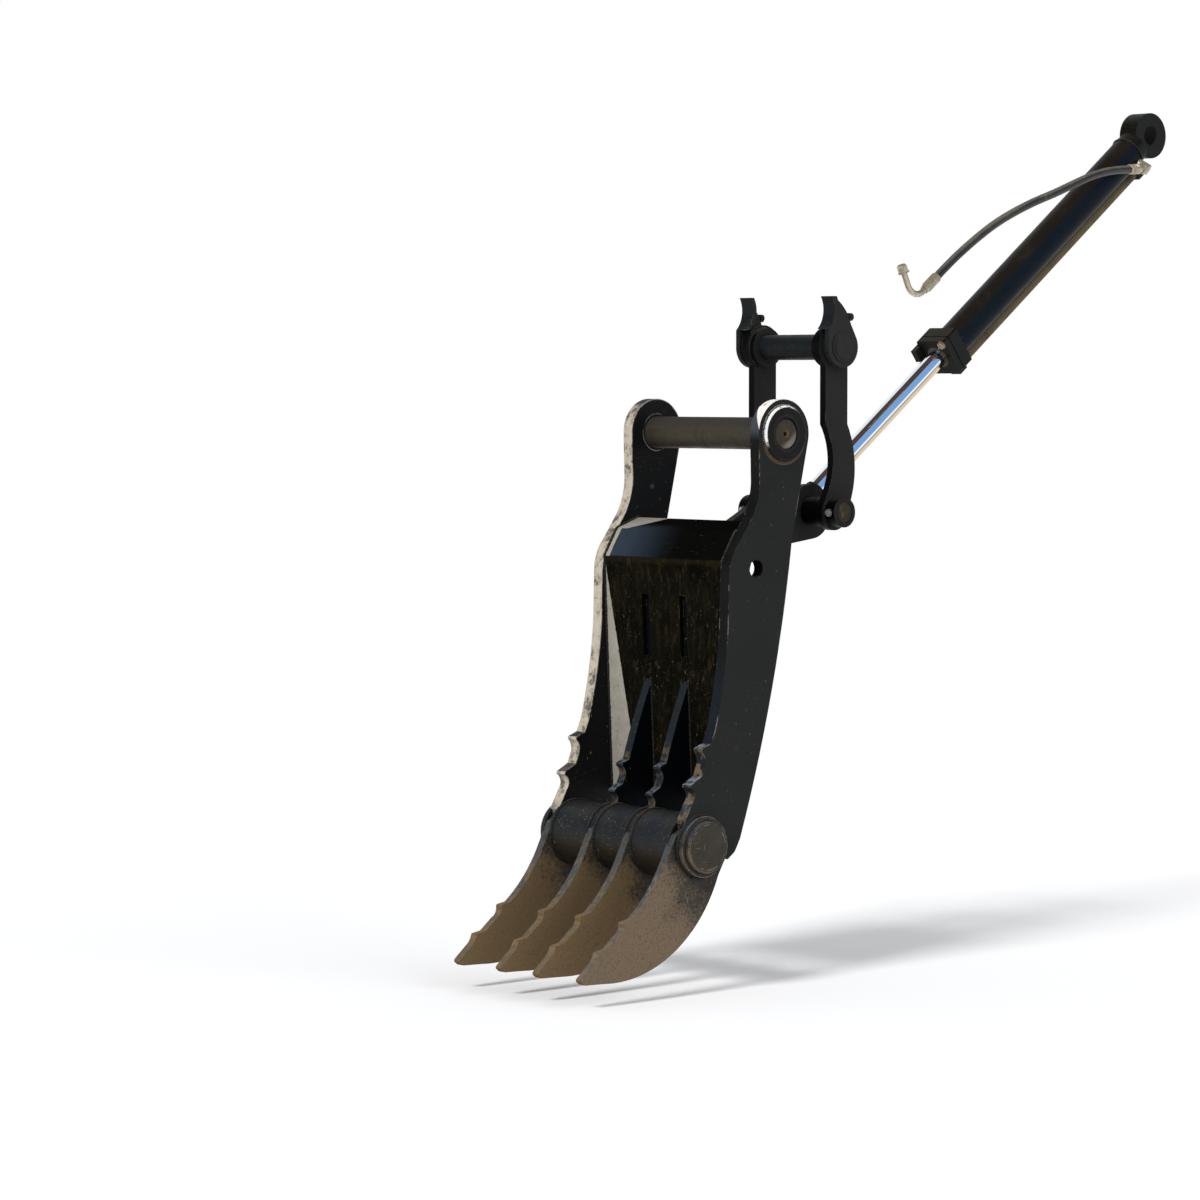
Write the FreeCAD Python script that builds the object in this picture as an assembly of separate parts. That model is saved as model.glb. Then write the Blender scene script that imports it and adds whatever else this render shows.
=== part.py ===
import FreeCAD, Part
import math
import os

# Hydraulic thumb of a 20 to 25 tonne digging machine, drawn as it grips: lengths in millimetres.
# X points to the machine in the working plane, Y across the thumb, Z up.
# The origin is the centre of the main pin, midway between the two ears.

V = FreeCAD.Vector

# Across the thumb (Y)
THUMB_WIDTH = 500.0
SIDE_PLATE = 32.0
TINE_PLATE = 25.0
TINE_SPACING = 138.0
CLAW_PLATE = 22.0
FACE_PLATE = 16.0
LINK_PLATE = 20.0
LINK_GAP = 242.0
ARM_PLATE = 24.0
EYE_WIDTH = 59.0
SIDE_GAP = 1.0
KNUCKLE_WIDTH = 352.0
FIT = 0.05

# Pins and bores (diameters)
MAIN_PIN = 80.0
LINK_PIN = 65.0
FOLLOWER_PIN = 60.0
KNUCKLE_PIN = 53.0
BASE_PIN = 55.0
LOCK_HOLE = 45.0
BUSH_WALL = 6.0

# Pivots in the working plane (X, Z)
MAIN = (0.0, 0.0)
LINK_TOP = (284.0, 216.0)
LINK_LENGTH = 418.0
KNUCKLE = (LINK_TOP[0], LINK_TOP[1] - LINK_LENGTH)
FOLLOWER = (MAIN[0] + KNUCKLE[0] - LINK_TOP[0], MAIN[1] + KNUCKLE[1] - LINK_TOP[1])
BASE_EYE = (1610.0, 805.0)
TUBE = (-277.0, -1003.0)
LOCK = (-93.0, -331.0)

# Thumb weldment
HEAD_RADIUS = 85.0
BOSS_RADIUS = 70.0
BOSS_HEIGHT = 10.0
BOSS_RIM = 5.0
CAP_RIM = 3.0
LUG_RADIUS = 55.0
TUBE_RADIUS = 80.0
TUBE_WALL = 16.0
CAP_RADIUS = 64.0
CAP_COLLAR = 75.0
CAP_COLLAR_HEIGHT = 14.0
CAP_REACH = 27.0
TOOTH_NOSE = 6.0

# Linkage
LINK_HEAD = 58.0
LINK_HALF = 39.0
LINK_NECK = 195.0
LINK_LEAN = 5.0
LINK_BOW = 32.0
LINK_FOOT = 46.0
LINK_BOSS = 15.0
HUB_RADIUS = 38.0
CROSS_BOLT = 5.0
CROSS_BOLT_HEAD = 17.0
ARM_EYE = 70.0
ARM_KNEE = 30.0
ARM_END = 46.0
KNEE = (60.0, -272.0)

# Cylinder: lengths along its axis, counted from the knuckle pin
ROD_RADIUS = 25.0
BORE_RADIUS = 40.0
BARREL_WALL = 5.0
EYE_RADIUS = 62.0
GLAND_START = 652.0
GLAND_LENGTH = 59.0
GLAND_NOSE = 50.0
GLAND_HEIGHT = 106.0
GLAND_WIDTH = 100.0
GLAND_FLANGE = 20.0
GLAND_GROOVE = 3.0
PORT_BLOCK = (45.0, 18.0, 35.0)
PORT_BLOCK_REACH = 17.0
GLAND_BOLT_HEAD = 19.0
PISTON_START = 942.0
PISTON_LENGTH = 50.0
NUT_LENGTH = 20.0
TRANSFER_RADIUS = 13.0
CYLINDER_LENGTH = math.dist(KNUCKLE, BASE_EYE)
CYLINDER_ANGLE = math.degrees(math.atan2(BASE_EYE[1] - KNUCKLE[1], BASE_EYE[0] - KNUCKLE[0]))
PLUG_START = CYLINDER_LENGTH - EYE_RADIUS - 18.0

# Hose: its outside radius and the points of its route from the base end to the far end
HOSE_RADIUS = 11.0
FERRULE_RADIUS = 14.0
PIPE_RADIUS = 8.0
PORT_RADIUS = 15.0
HOSE_ROUTE = [(1479, -66, 707), (1399, -78, 702), (1308, -90, 685), (1218, -102, 658), (1131, -112, 630),
              (1046, -120, 606), (965, -126, 578), (890, -130, 547), (825, -133, 513), (765, -135, 477),
              (708, -135, 439), (657, -135, 400)]
FERRULE_LENGTH = 58.0
PORT_REACH = 28.0
PIPE_ROUTE = [(571, -135, 334), (536, -135, 408)]
HOSE_BENDS = 0.45
PIPE_BENDS = 0.9

# Places worked out from the sizes above
OUTER = THUMB_WIDTH / 2
INNER = OUTER - SIDE_PLATE
TINE_IN = (TINE_SPACING - TINE_PLATE) / 2
TINE_OUT = TINE_IN + TINE_PLATE
LINK_IN = LINK_GAP / 2
LINK_OUT = LINK_IN + LINK_PLATE
ARM_IN = EYE_WIDTH / 2 + SIDE_GAP
ARM_OUT = ARM_IN + ARM_PLATE
HUB_IN = ARM_OUT + 1.5 * SIDE_GAP
HUB_OUT = KNUCKLE_WIDTH / 2

nodes = {}


def disc(centre, radius, start, end):
    """A cylinder along Y about a point of the working plane."""
    return Part.makeCylinder(radius, end - start, V(centre[0], start, centre[1]), V(0, 1, 0))


def ring(centre, radius, hole, start, end):
    """A disc with a round hole."""
    return disc(centre, radius, start, end).cut(disc(centre, hole, start - 1, end + 1))


def rounded(before, corner, after, radius):
    """Start, middle and end of the arc that rounds a corner of an outline."""
    a, b, c = (V(p[0], 0, p[1]) for p in (before, corner, after))
    inward = (b - a).normalize()
    outward = (c - b).normalize()
    turn = inward.getAngle(outward)
    cut = radius * math.tan(turn / 2)
    middle = b + (outward - inward).normalize() * radius * (1 / math.cos(turn / 2) - 1)
    return b - inward * cut, middle, b + outward * cut


def outline(steps):
    """A closed wire from corners (x, z), rounded corners (x, z, r) and arcs (x mid, z mid, x, z)."""
    edges = []
    first = V(steps[0][0], 0, steps[0][1])
    place = first
    for index, step in enumerate(steps[1:], 1):
        if len(step) == 4:
            target = V(step[2], 0, step[3])
            edges.append(Part.Arc(place, V(step[0], 0, step[1]), target).toShape())
        elif len(step) == 3:
            after = steps[(index + 1) % len(steps)]
            start, middle, target = rounded((place.x, place.z), step, after, step[2])
            edges.append(Part.LineSegment(place, start).toShape())
            edges.append(Part.Arc(start, middle, target).toShape())
        else:
            target = V(step[0], 0, step[1])
            edges.append(Part.LineSegment(place, target).toShape())
        place = target
    if place.distanceToPoint(first) > 1e-6:
        edges.append(Part.LineSegment(place, first).toShape())
    return Part.Wire(edges)


def plate(wire, start, end):
    """A flat plate of the outline, between two places across the thumb."""
    flat = Part.Face(wire)
    flat.translate(V(0, start, 0))
    return flat.extrude(V(0, end - start, 0))


def mirrored(shape):
    """The same piece on the far side."""
    return shape.mirror(V(0, 0, 0), V(0, 1, 0))


def pair(name, shape):
    """Keeps a near piece and its mirror image as two nodes."""
    nodes[name + "_near"] = shape
    nodes[name + "_far"] = mirrored(shape)


def both_sides(shape):
    """A near piece and its mirror image as one group."""
    return Part.makeCompound([shape, mirrored(shape)])


def circle_point(centre, radius, degrees):
    """A point on a circle of the working plane."""
    turn = math.radians(degrees)
    return (centre[0] + radius * math.cos(turn), centre[1] + radius * math.sin(turn))


def tangent_angle(centre, radius, point, side):
    """The angle on a circle at which a line from a point touches it."""
    away = math.atan2(point[1] - centre[1], point[0] - centre[0])
    spread = math.acos(radius / math.dist(centre, point))
    return math.degrees(away + side * spread)


def outer_rim(shape):
    """The largest round edge on the near face of a turned piece."""
    near = [edge for edge in shape.Edges if edge.BoundBox.YMax < shape.BoundBox.YMin + 0.01]
    return max(near, key=lambda edge: edge.BoundBox.XLength)


def strap(first, first_radius, second, second_radius):
    """The outline of two round ends and the straight edges that touch both."""
    along = math.degrees(math.atan2(second[1] - first[1], second[0] - first[0]))
    lean = math.degrees(math.acos((first_radius - second_radius) / math.dist(first, second)))
    high_first = circle_point(first, first_radius, along + lean)
    low_first = circle_point(first, first_radius, along - lean)
    high_second = circle_point(second, second_radius, along + lean)
    low_second = circle_point(second, second_radius, along - lean)
    back = circle_point(first, first_radius, along + 180)
    front = circle_point(second, second_radius, along)
    return outline([low_first, low_second, front + high_second, high_first, back + low_first])


def tooth(steps, root, tip, gullet, end):
    """Adds one gripping tooth: a flat upper flank, a rounded nose and a hollow lower flank."""
    start, middle, nose_end = rounded(root, tip, gullet, TOOTH_NOSE)
    steps.append(root)
    steps.append((start.x, start.z))
    steps.append((middle.x, middle.z, nose_end.x, nose_end.z))
    steps.append(gullet + end)


# Side plates: ear, neck, straight shank with two teeth and a blunt heel above the cross tube
HEEL_FRONT = (TUBE[0] - 45.0, TUBE[1] + 41.0)
HEEL_BACK = (TUBE[0] + 89.0, TUBE[1] - 38.0)
SIDE_TEETH = [((-244.0, -754.0), (-275.0, -766.0), (-262.0, -797.0), (-267.0, -813.0)),
              ((-274.0, -832.0), (-313.0, -853.0), (-298.0, -880.0), (-305.0, -897.0))]


def side_outline():
    shoulder = (29.0, -256.0)
    back_touch = tangent_angle(MAIN, HEAD_RADIUS, shoulder, 1)
    front_touch = 180.0
    ear_top = circle_point(MAIN, HEAD_RADIUS, (back_touch + front_touch) / 2)
    steps = [circle_point(MAIN, HEAD_RADIUS, back_touch)]
    steps.append(ear_top + circle_point(MAIN, HEAD_RADIUS, front_touch))
    steps.append((-82.0, -118.0))
    steps.append((-90.0, -165.0, -110.0, -208.0))
    steps.append((-167.0, -286.0))
    steps.append((-180.0, -315.0, -185.0, -346.0))
    steps.append((-187.5, -470.0))
    steps.append((-203.0, -600.0, -230.0, -722.0))
    for points in SIDE_TEETH:
        tooth(steps, *points)
    steps.append((-332.0, -943.0, TOOTH_NOSE))
    steps.append(HEEL_FRONT)
    steps.append(HEEL_BACK)
    steps.append((-164.0, -1024.0, 20.0))
    steps.append((-146.0, -992.0))
    steps.append((-57.0, -702.0) + shoulder)
    return outline(steps)


def make_side_plates():
    shape = plate(side_outline(), -OUTER, -INNER)
    shape = shape.cut(disc(MAIN, MAIN_PIN / 2 + BUSH_WALL, -OUTER - 1, -INNER + 1))
    shape = shape.cut(disc(TUBE, CAP_RADIUS, -OUTER - 1, -INNER + 1))
    shape = shape.cut(disc(LOCK, LOCK_HOLE / 2, -OUTER - 1, -INNER + 1))
    pair("side_plate", shape)
    bore = MAIN_PIN / 2 + BUSH_WALL
    boss = ring(MAIN, BOSS_RADIUS, bore, -OUTER - BOSS_HEIGHT, -OUTER)
    pair("pivot_boss", boss.makeChamfer(BOSS_RIM, [outer_rim(boss)]))
    pair("pivot_bush", ring(MAIN, bore, MAIN_PIN / 2 + FIT, -OUTER - BOSS_HEIGHT, -INNER))


# Face plate: one plate bent twice, with two slots and two notches that the inner tines pass
FACE_FRONT = [(-151.0, -905.0), (-178.0, -310.0), (-136.0, -241.0), (-65.0, -216.0)]
SLOT_TOP = -402.0
SLOT_FOOT = -555.0
NOTCH_TOP = -612.0
SLOT_CLEARANCE = 0.5


def face_x(height):
    """Where the front of the face plate's long panel is at a height."""
    (low_x, low_z), (high_x, high_z) = FACE_FRONT[:2]
    return low_x + (high_x - low_x) * (height - low_z) / (high_z - low_z)


def face_back():
    """The back of the face plate, one plate thickness behind its front."""
    front = [V(x, 0, z) for x, z in FACE_FRONT]
    inward = []
    for start, end in zip(front, front[1:]):
        along = (end - start).normalize()
        inward.append(V(along.z, 0, -along.x))
    ends = [front[0] + inward[0] * FACE_PLATE]
    for corner, first, second in zip(front[1:-1], inward, inward[1:]):
        middle = (first + second).normalize()
        ends.append(corner + middle * (FACE_PLATE / middle.dot(first)))
    ends.append(front[-1] + inward[-1] * FACE_PLATE)
    return [(p.x, p.z) for p in ends]


def make_face_plate():
    bend = 8.0
    front = [FACE_FRONT[0]] + [p + (bend + FACE_PLATE,) for p in FACE_FRONT[1:-1]] + [FACE_FRONT[-1]]
    back = face_back()
    back = [back[-1]] + [p + (bend,) for p in reversed(back[1:-1])] + [back[0]]
    shape = plate(outline(front + back), -INNER, INNER)
    half = TINE_PLATE / 2 + SLOT_CLEARANCE
    reach = 60.0
    for middle in (-TINE_SPACING / 2, TINE_SPACING / 2):
        left = face_x(SLOT_TOP) - reach
        slot = Part.makeBox(2 * reach, 2 * half, SLOT_TOP - SLOT_FOOT, V(left, middle - half, SLOT_FOOT))
        foot = FACE_FRONT[0][1] - 10
        notch = Part.makeBox(2 * reach, 2 * half, NOTCH_TOP - foot, V(left, middle - half, foot))
        shape = shape.cut(slot).cut(notch)
    nodes["face_plate"] = shape


# Inner tines: lug for the follower pin, a tab in each slot and two teeth below the face plate
TAB_RECESS = 13.0
NOTCH_RECESS = 4.0
TINE_TEETH = [((-238.0, -813.0), (-263.0, -822.0), (-249.0, -847.0), (-254.0, -862.0)),
              ((-258.0, -872.0), (-288.0, -887.0), (-275.0, -908.0), (-283.0, -925.0))]


def tine_outline():
    clearance = SLOT_CLEARANCE
    lean = math.atan2(face_x(0.0) - face_x(100.0), 100.0)
    hidden = FACE_PLATE / math.cos(lean) + clearance
    top = (face_x(-372.0) + hidden, -372.0)
    shoulder = (-48.0, -560.0)
    back_touch = tangent_angle(FOLLOWER, LUG_RADIUS, shoulder, 1)
    front_touch = tangent_angle(FOLLOWER, LUG_RADIUS, top, -1)
    crown = circle_point(FOLLOWER, LUG_RADIUS, (back_touch + front_touch) / 2)
    tab_top = SLOT_TOP - clearance
    tab_foot = SLOT_FOOT + clearance
    notch = NOTCH_TOP - clearance
    steps = [circle_point(FOLLOWER, LUG_RADIUS, back_touch)]
    steps.append(crown + circle_point(FOLLOWER, LUG_RADIUS, front_touch))
    steps.append(top)
    steps.append((face_x(tab_top) + hidden, tab_top))
    steps.append((face_x(tab_top) + TAB_RECESS, tab_top))
    steps.append((face_x(tab_foot) + TAB_RECESS, tab_foot))
    steps.append((face_x(tab_foot) + hidden, tab_foot))
    steps.append((face_x(notch) + hidden, notch))
    steps.append((face_x(notch) + NOTCH_RECESS, notch))
    steps.append((-196.0, -696.0, -235.0, -806.0))
    for points in TINE_TEETH:
        tooth(steps, *points)
    steps.append(HEEL_FRONT)
    steps.append(HEEL_BACK)
    steps.append((-166.0, -1020.0, 20.0))
    steps.append((-158.0, -985.0))
    steps.append((-75.0, -740.0) + shoulder)
    return outline(steps)


def make_inner_tines():
    shape = plate(tine_outline(), -TINE_OUT, -TINE_IN)
    shape = shape.cut(disc(FOLLOWER, FOLLOWER_PIN / 2, -TINE_OUT - 1, -TINE_IN + 1))
    shape = shape.cut(disc(TUBE, TUBE_RADIUS, -TINE_OUT - 1, -TINE_IN + 1))
    pair("inner_tine", shape)
    washer = 10.0
    nodes["follower_pin"] = disc(FOLLOWER, FOLLOWER_PIN / 2, -TINE_OUT - washer, TINE_OUT + washer)
    collar = ring(FOLLOWER, FOLLOWER_PIN / 2 + 12, FOLLOWER_PIN / 2, -TINE_OUT - washer, -TINE_OUT)
    nodes["follower_pin_collars"] = both_sides(collar)


# Cross tube with its end caps, which pass the side plates and stand out beyond them
def make_cross_tube():
    tube = ring(TUBE, TUBE_RADIUS, TUBE_RADIUS - TUBE_WALL, -INNER, INNER)
    nodes["cross_tube"] = tube
    cap = disc(TUBE, CAP_RADIUS, -OUTER - CAP_REACH, -INNER)
    cap = cap.makeChamfer(CAP_RIM, [outer_rim(cap)])
    collar = ring(TUBE, CAP_COLLAR, CAP_RADIUS - 1, -OUTER - CAP_COLLAR_HEIGHT, -OUTER)
    pair("tube_cap", cap.fuse(collar).removeSplitter())


# Claws: four curved points welded round the cross tube, each with two teeth on its hollow side
CLAW_SHOULDER = (-350.0, -972.0)
CLAW_NECK = (-378.0, -1025.0)
CLAW_THROAT = (-425.0, -1101.0, -487.0, -1163.0)
CLAW_TEETH = [((-492.0, -1166.0), (-518.0, -1170.0), (-521.0, -1190.0), (-534.0, -1202.0)),
              ((-570.0, -1231.0), (-598.0, -1236.0), (-606.0, -1254.0), (-616.0, -1264.0))]
CLAW_TIP = (-657.0, -1299.0)
CLAW_UNDERSIDE = (-643.0, -1310.0)
CLAW_BELLY = (-580.0, -1312.0)
CLAW_BACK = (-353.0, -1254.0, -210.0, -1079.0)


def claw_outline():
    steps = [HEEL_FRONT, CLAW_SHOULDER + (TOOTH_NOSE,), CLAW_NECK, CLAW_THROAT]
    for points in CLAW_TEETH:
        tooth(steps, *points)
    steps.append(CLAW_TIP + (TOOTH_NOSE,))
    steps.append(CLAW_UNDERSIDE + (TOOTH_NOSE,))
    steps.extend([CLAW_BELLY, CLAW_BACK, HEEL_BACK])
    return outline(steps)


def make_claws():
    whole = claw_outline()
    outer = plate(whole, -INNER - CLAW_PLATE, -INNER).cut(disc(TUBE, CAP_RADIUS, -OUTER, -INNER + 1))
    middle = TINE_SPACING / 2
    inner = plate(whole, -middle - CLAW_PLATE / 2, -middle + CLAW_PLATE / 2)
    inner = inner.cut(disc(TUBE, TUBE_RADIUS, -OUTER, OUTER))
    pair("claw_outer", outer)
    pair("claw_inner", inner)


# Main pin with its grease hole, and the upper pin with keeper plate, ring and pinch bolt
PIN_SUNK = 3.0
GREASE_HOLE = 6.0
GREASE_MOUTH = 9.0


def pin(centre, radius, half, chamfer):
    shape = disc(centre, radius, -half, half)
    rims = [edge for edge in shape.Edges if abs(abs(edge.CenterOfMass.y) - half) < 0.01]
    return shape.makeChamfer(chamfer, rims)


def make_main_pin():
    half = OUTER + BOSS_HEIGHT - PIN_SUNK
    end = V(MAIN[0], -half, MAIN[1])
    mouth = Part.makeCone(GREASE_MOUTH, GREASE_HOLE, GREASE_MOUTH - GREASE_HOLE, end, V(0, 1, 0))
    grease = disc(MAIN, GREASE_HOLE, -half - 1, -half + 30).fuse(mouth)
    nodes["main_pin"] = pin(MAIN, MAIN_PIN / 2, half, 5.0).cut(grease)


KEEPER_GAP = 2.0
KEEPER_SPACER = 14.0
KEEPER_PLATE = 13.0
KEEPER_RADIUS = 52.0
KEEPER_HORN = (-40.0, 128.0)
KEEPER_HOLLOW = (-31.0, 88.0)
KEEPER_SHOULDER = (-52.0, 45.0)
KEEPER_FLANGE = 41.0
SPACER_WALL = 14.0
COLLAR_WALL = 6.0
COLLAR_HEIGHT = 3.0
PIN_STAND = 6.0


def hexagon(across, centre, direction, length):
    """A hexagonal prism, such as a bolt head or a nut."""
    corners = []
    for index in range(7):
        turn = math.radians(60 * index)
        corners.append(V(across / math.sqrt(3) * math.cos(turn), across / math.sqrt(3) * math.sin(turn), 0))
    shape = Part.Face(Part.makePolygon(corners)).extrude(V(0, 0, length))
    shape.Placement = FreeCAD.Placement(centre, FreeCAD.Rotation(V(0, 0, 1), direction))
    return shape


def keeper_point(x, z):
    return (LINK_TOP[0] + x, LINK_TOP[1] + z)


def keeper_edge(shift):
    """The hollow front edge of the keeper plate, from its horn down to its shoulder."""
    horn = keeper_point(KEEPER_HORN[0] + shift, KEEPER_HORN[1])
    hollow = keeper_point(KEEPER_HOLLOW[0] + shift, KEEPER_HOLLOW[1])
    shoulder = keeper_point(KEEPER_SHOULDER[0] + shift, KEEPER_SHOULDER[1])
    return horn, hollow, shoulder


def make_link_pin():
    inside = -LINK_OUT - KEEPER_GAP
    seat = inside - KEEPER_SPACER
    face = seat - KEEPER_PLATE
    bore = LINK_PIN / 2
    nodes["link_pin"] = pin(LINK_TOP, bore, -face + PIN_STAND, 2.5)
    horn, hollow, shoulder = keeper_edge(0.0)
    rear = keeper_point(27.0, 58.0)
    right = tangent_angle(LINK_TOP, KEEPER_RADIUS, rear, -1)
    steps = [circle_point(LINK_TOP, KEEPER_RADIUS, 180), shoulder, hollow + horn]
    steps.append((horn[0] + 17.0, horn[1]))
    steps.append((horn[0] + 21.0, horn[1] - 10.0))
    steps.append(keeper_point(13.0, 86.0) + rear)
    steps.append(circle_point(LINK_TOP, KEEPER_RADIUS, right))
    steps.append(circle_point(LINK_TOP, KEEPER_RADIUS, 270) + circle_point(LINK_TOP, KEEPER_RADIUS, 180))
    keeper = plate(outline(steps), face, seat)
    inner_horn, inner_hollow, inner_shoulder = keeper_edge(KEEPER_PLATE)
    edge = [shoulder, hollow + horn, inner_horn, inner_hollow + inner_shoulder]
    flange = plate(outline(edge), face, face + KEEPER_FLANGE)
    flange = flange.cut(disc(LINK_TOP, LINK_HEAD + KEEPER_GAP, seat, 0.0))
    keeper = keeper.fuse(flange).removeSplitter()
    keeper = keeper.cut(disc(LINK_TOP, bore, face - 1, seat + 1))
    bolt_place = keeper_point(16.0, 76.0)
    bolt = disc((0, 0), 7.0, 0.0, 24.0).fuse(disc((0, 0), 10.0, 12.0, 24.0)).removeSplitter()
    bolt.Placement = FreeCAD.Placement(V(bolt_place[0] - 6, (face + seat) / 2, bolt_place[1]),
                                       FreeCAD.Rotation(V(0, 1, 0), V(1, 0, 0)))
    pair("link_keeper", keeper.cut(bolt))
    nodes["keeper_bolts"] = both_sides(bolt)
    spacer = ring(LINK_TOP, bore + SPACER_WALL, bore, seat, inside)
    collar = ring(LINK_TOP, bore + COLLAR_WALL, bore, face - COLLAR_HEIGHT, face)
    nodes["keeper_rings"] = Part.makeCompound([spacer, collar, mirrored(spacer), mirrored(collar)])


# Drive links: bowed plates that hang from the upper pin and carry the knuckle hubs
def link_outline():
    bow = (KNUCKLE[0] + LINK_BOW, KNUCKLE[1] + 112.0)
    foot_high = 48.0
    right_side = LINK_LEAN + LINK_HALF
    left_side = LINK_LEAN - LINK_HALF
    right_head = (LINK_TOP[0] + right_side, LINK_TOP[1] - LINK_NECK)
    left_head = (LINK_TOP[0] + left_side, LINK_TOP[1] - LINK_NECK)
    right_touch = -math.degrees(math.acos(right_side / LINK_HEAD))
    left_touch = 360.0 - math.degrees(math.acos(left_side / LINK_HEAD))
    right_foot = tangent_angle(KNUCKLE, LINK_FOOT, (bow[0] + LINK_HALF - 8, KNUCKLE[1] + foot_high), -1)
    left_foot = tangent_angle(KNUCKLE, LINK_FOOT, (bow[0] - LINK_HALF - 20, KNUCKLE[1] + foot_high), 1)
    steps = [circle_point(LINK_TOP, LINK_HEAD, right_touch)]
    steps.append(circle_point(LINK_TOP, LINK_HEAD, 90) + circle_point(LINK_TOP, LINK_HEAD, left_touch))
    steps.append(left_head)
    steps.append((bow[0] - LINK_HALF, bow[1] + 5, bow[0] - LINK_HALF - 20, KNUCKLE[1] + foot_high))
    steps.append(circle_point(KNUCKLE, LINK_FOOT, left_foot))
    steps.append(circle_point(KNUCKLE, LINK_FOOT, 270) + circle_point(KNUCKLE, LINK_FOOT, right_foot))
    steps.append((bow[0] + LINK_HALF - 8, KNUCKLE[1] + foot_high))
    steps.append((bow[0] + LINK_HALF, bow[1] + 5) + right_head)
    return outline(steps)


def make_drive_links():
    bore = LINK_PIN / 2 + BUSH_WALL
    shape = plate(link_outline(), -LINK_OUT, -LINK_IN)
    shape = shape.cut(disc(LINK_TOP, bore, -LINK_OUT - 1, 0))
    shape = shape.cut(disc(KNUCKLE, HUB_RADIUS, -LINK_OUT - 1, 0))
    pair("drive_link", shape)
    pair("link_boss", ring(LINK_TOP, bore + 12, bore, -LINK_IN, -LINK_IN + LINK_BOSS))
    pair("link_bush", ring(LINK_TOP, bore, LINK_PIN / 2 + FIT, -LINK_OUT, -LINK_IN + LINK_BOSS))
    hub = ring(KNUCKLE, HUB_RADIUS, KNUCKLE_PIN / 2, -HUB_OUT, -HUB_IN)
    bolt_y = -(LINK_OUT + HUB_OUT) / 2
    reach = HUB_RADIUS + 6.0
    drill = Part.makeCylinder(CROSS_BOLT, 2 * reach, V(KNUCKLE[0] - reach, bolt_y, KNUCKLE[1]), V(1, 0, 0))
    pair("knuckle_hub", hub.cut(drill))
    knuckle_pin = pin(KNUCKLE, KNUCKLE_PIN / 2, HUB_OUT + 1.0, 3.0)
    nodes["knuckle_pin"] = knuckle_pin.cut(drill).cut(mirrored(drill))
    front = V(KNUCKLE[0] - HUB_RADIUS, bolt_y, KNUCKLE[1])
    rear = V(KNUCKLE[0] + HUB_RADIUS, bolt_y, KNUCKLE[1])
    shank = Part.makeCylinder(CROSS_BOLT, 2 * HUB_RADIUS + 4, front - V(2, 0, 0), V(1, 0, 0))
    head = hexagon(CROSS_BOLT_HEAD, front, V(-1, 0, 0), 8.0)
    nut = hexagon(CROSS_BOLT_HEAD, rear, V(1, 0, 0), 9.0)
    nodes["knuckle_bolts"] = both_sides(shank.fuse(head).fuse(nut).removeSplitter())


# Follower link: two cranked arms, welded to a hub that turns on the follower pin
def make_follower():
    upper = plate(strap(KNUCKLE, ARM_EYE, KNEE, ARM_KNEE), -ARM_OUT, -ARM_IN)
    lower = plate(strap(FOLLOWER, ARM_END, KNEE, ARM_KNEE), -ARM_OUT, -ARM_IN)
    arm = upper.fuse(lower).removeSplitter()
    hub_bore = FOLLOWER_PIN / 2 + BUSH_WALL
    eye_bore = KNUCKLE_PIN / 2 + BUSH_WALL
    arm = arm.cut(disc(FOLLOWER, hub_bore, -ARM_OUT - 1, 0)).cut(disc(KNUCKLE, eye_bore, -ARM_OUT - 1, 0))
    pair("follower_arm", arm)
    nodes["follower_hub"] = ring(FOLLOWER, ARM_END, hub_bore, -ARM_IN, ARM_IN)
    web = strap(KNEE, ARM_KNEE - 8, (KNEE[0] + 40, KNEE[1] + 12), ARM_KNEE - 8)
    nodes["follower_web"] = plate(web, -ARM_IN, ARM_IN)
    bush_half = TINE_IN - 2 * SIDE_GAP
    nodes["follower_hub_bush"] = ring(FOLLOWER, hub_bore, FOLLOWER_PIN / 2 + FIT, -bush_half, bush_half)
    eye_bush = ring(KNUCKLE, eye_bore, KNUCKLE_PIN / 2 + FIT, -ARM_OUT, -ARM_IN)
    nodes["follower_eye_bushes"] = both_sides(eye_bush)


# Cylinder: drawn along X from the knuckle pin, then turned to its place
def placed(shape):
    done = shape.copy()
    done.rotate(V(0, 0, 0), V(0, -1, 0), CYLINDER_ANGLE)
    done.translate(V(KNUCKLE[0], 0, KNUCKLE[1]))
    return done


def bar(radius, start, end, y=0.0, z=0.0):
    return Part.makeCylinder(radius, end - start, V(start, y, z), V(1, 0, 0))


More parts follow.
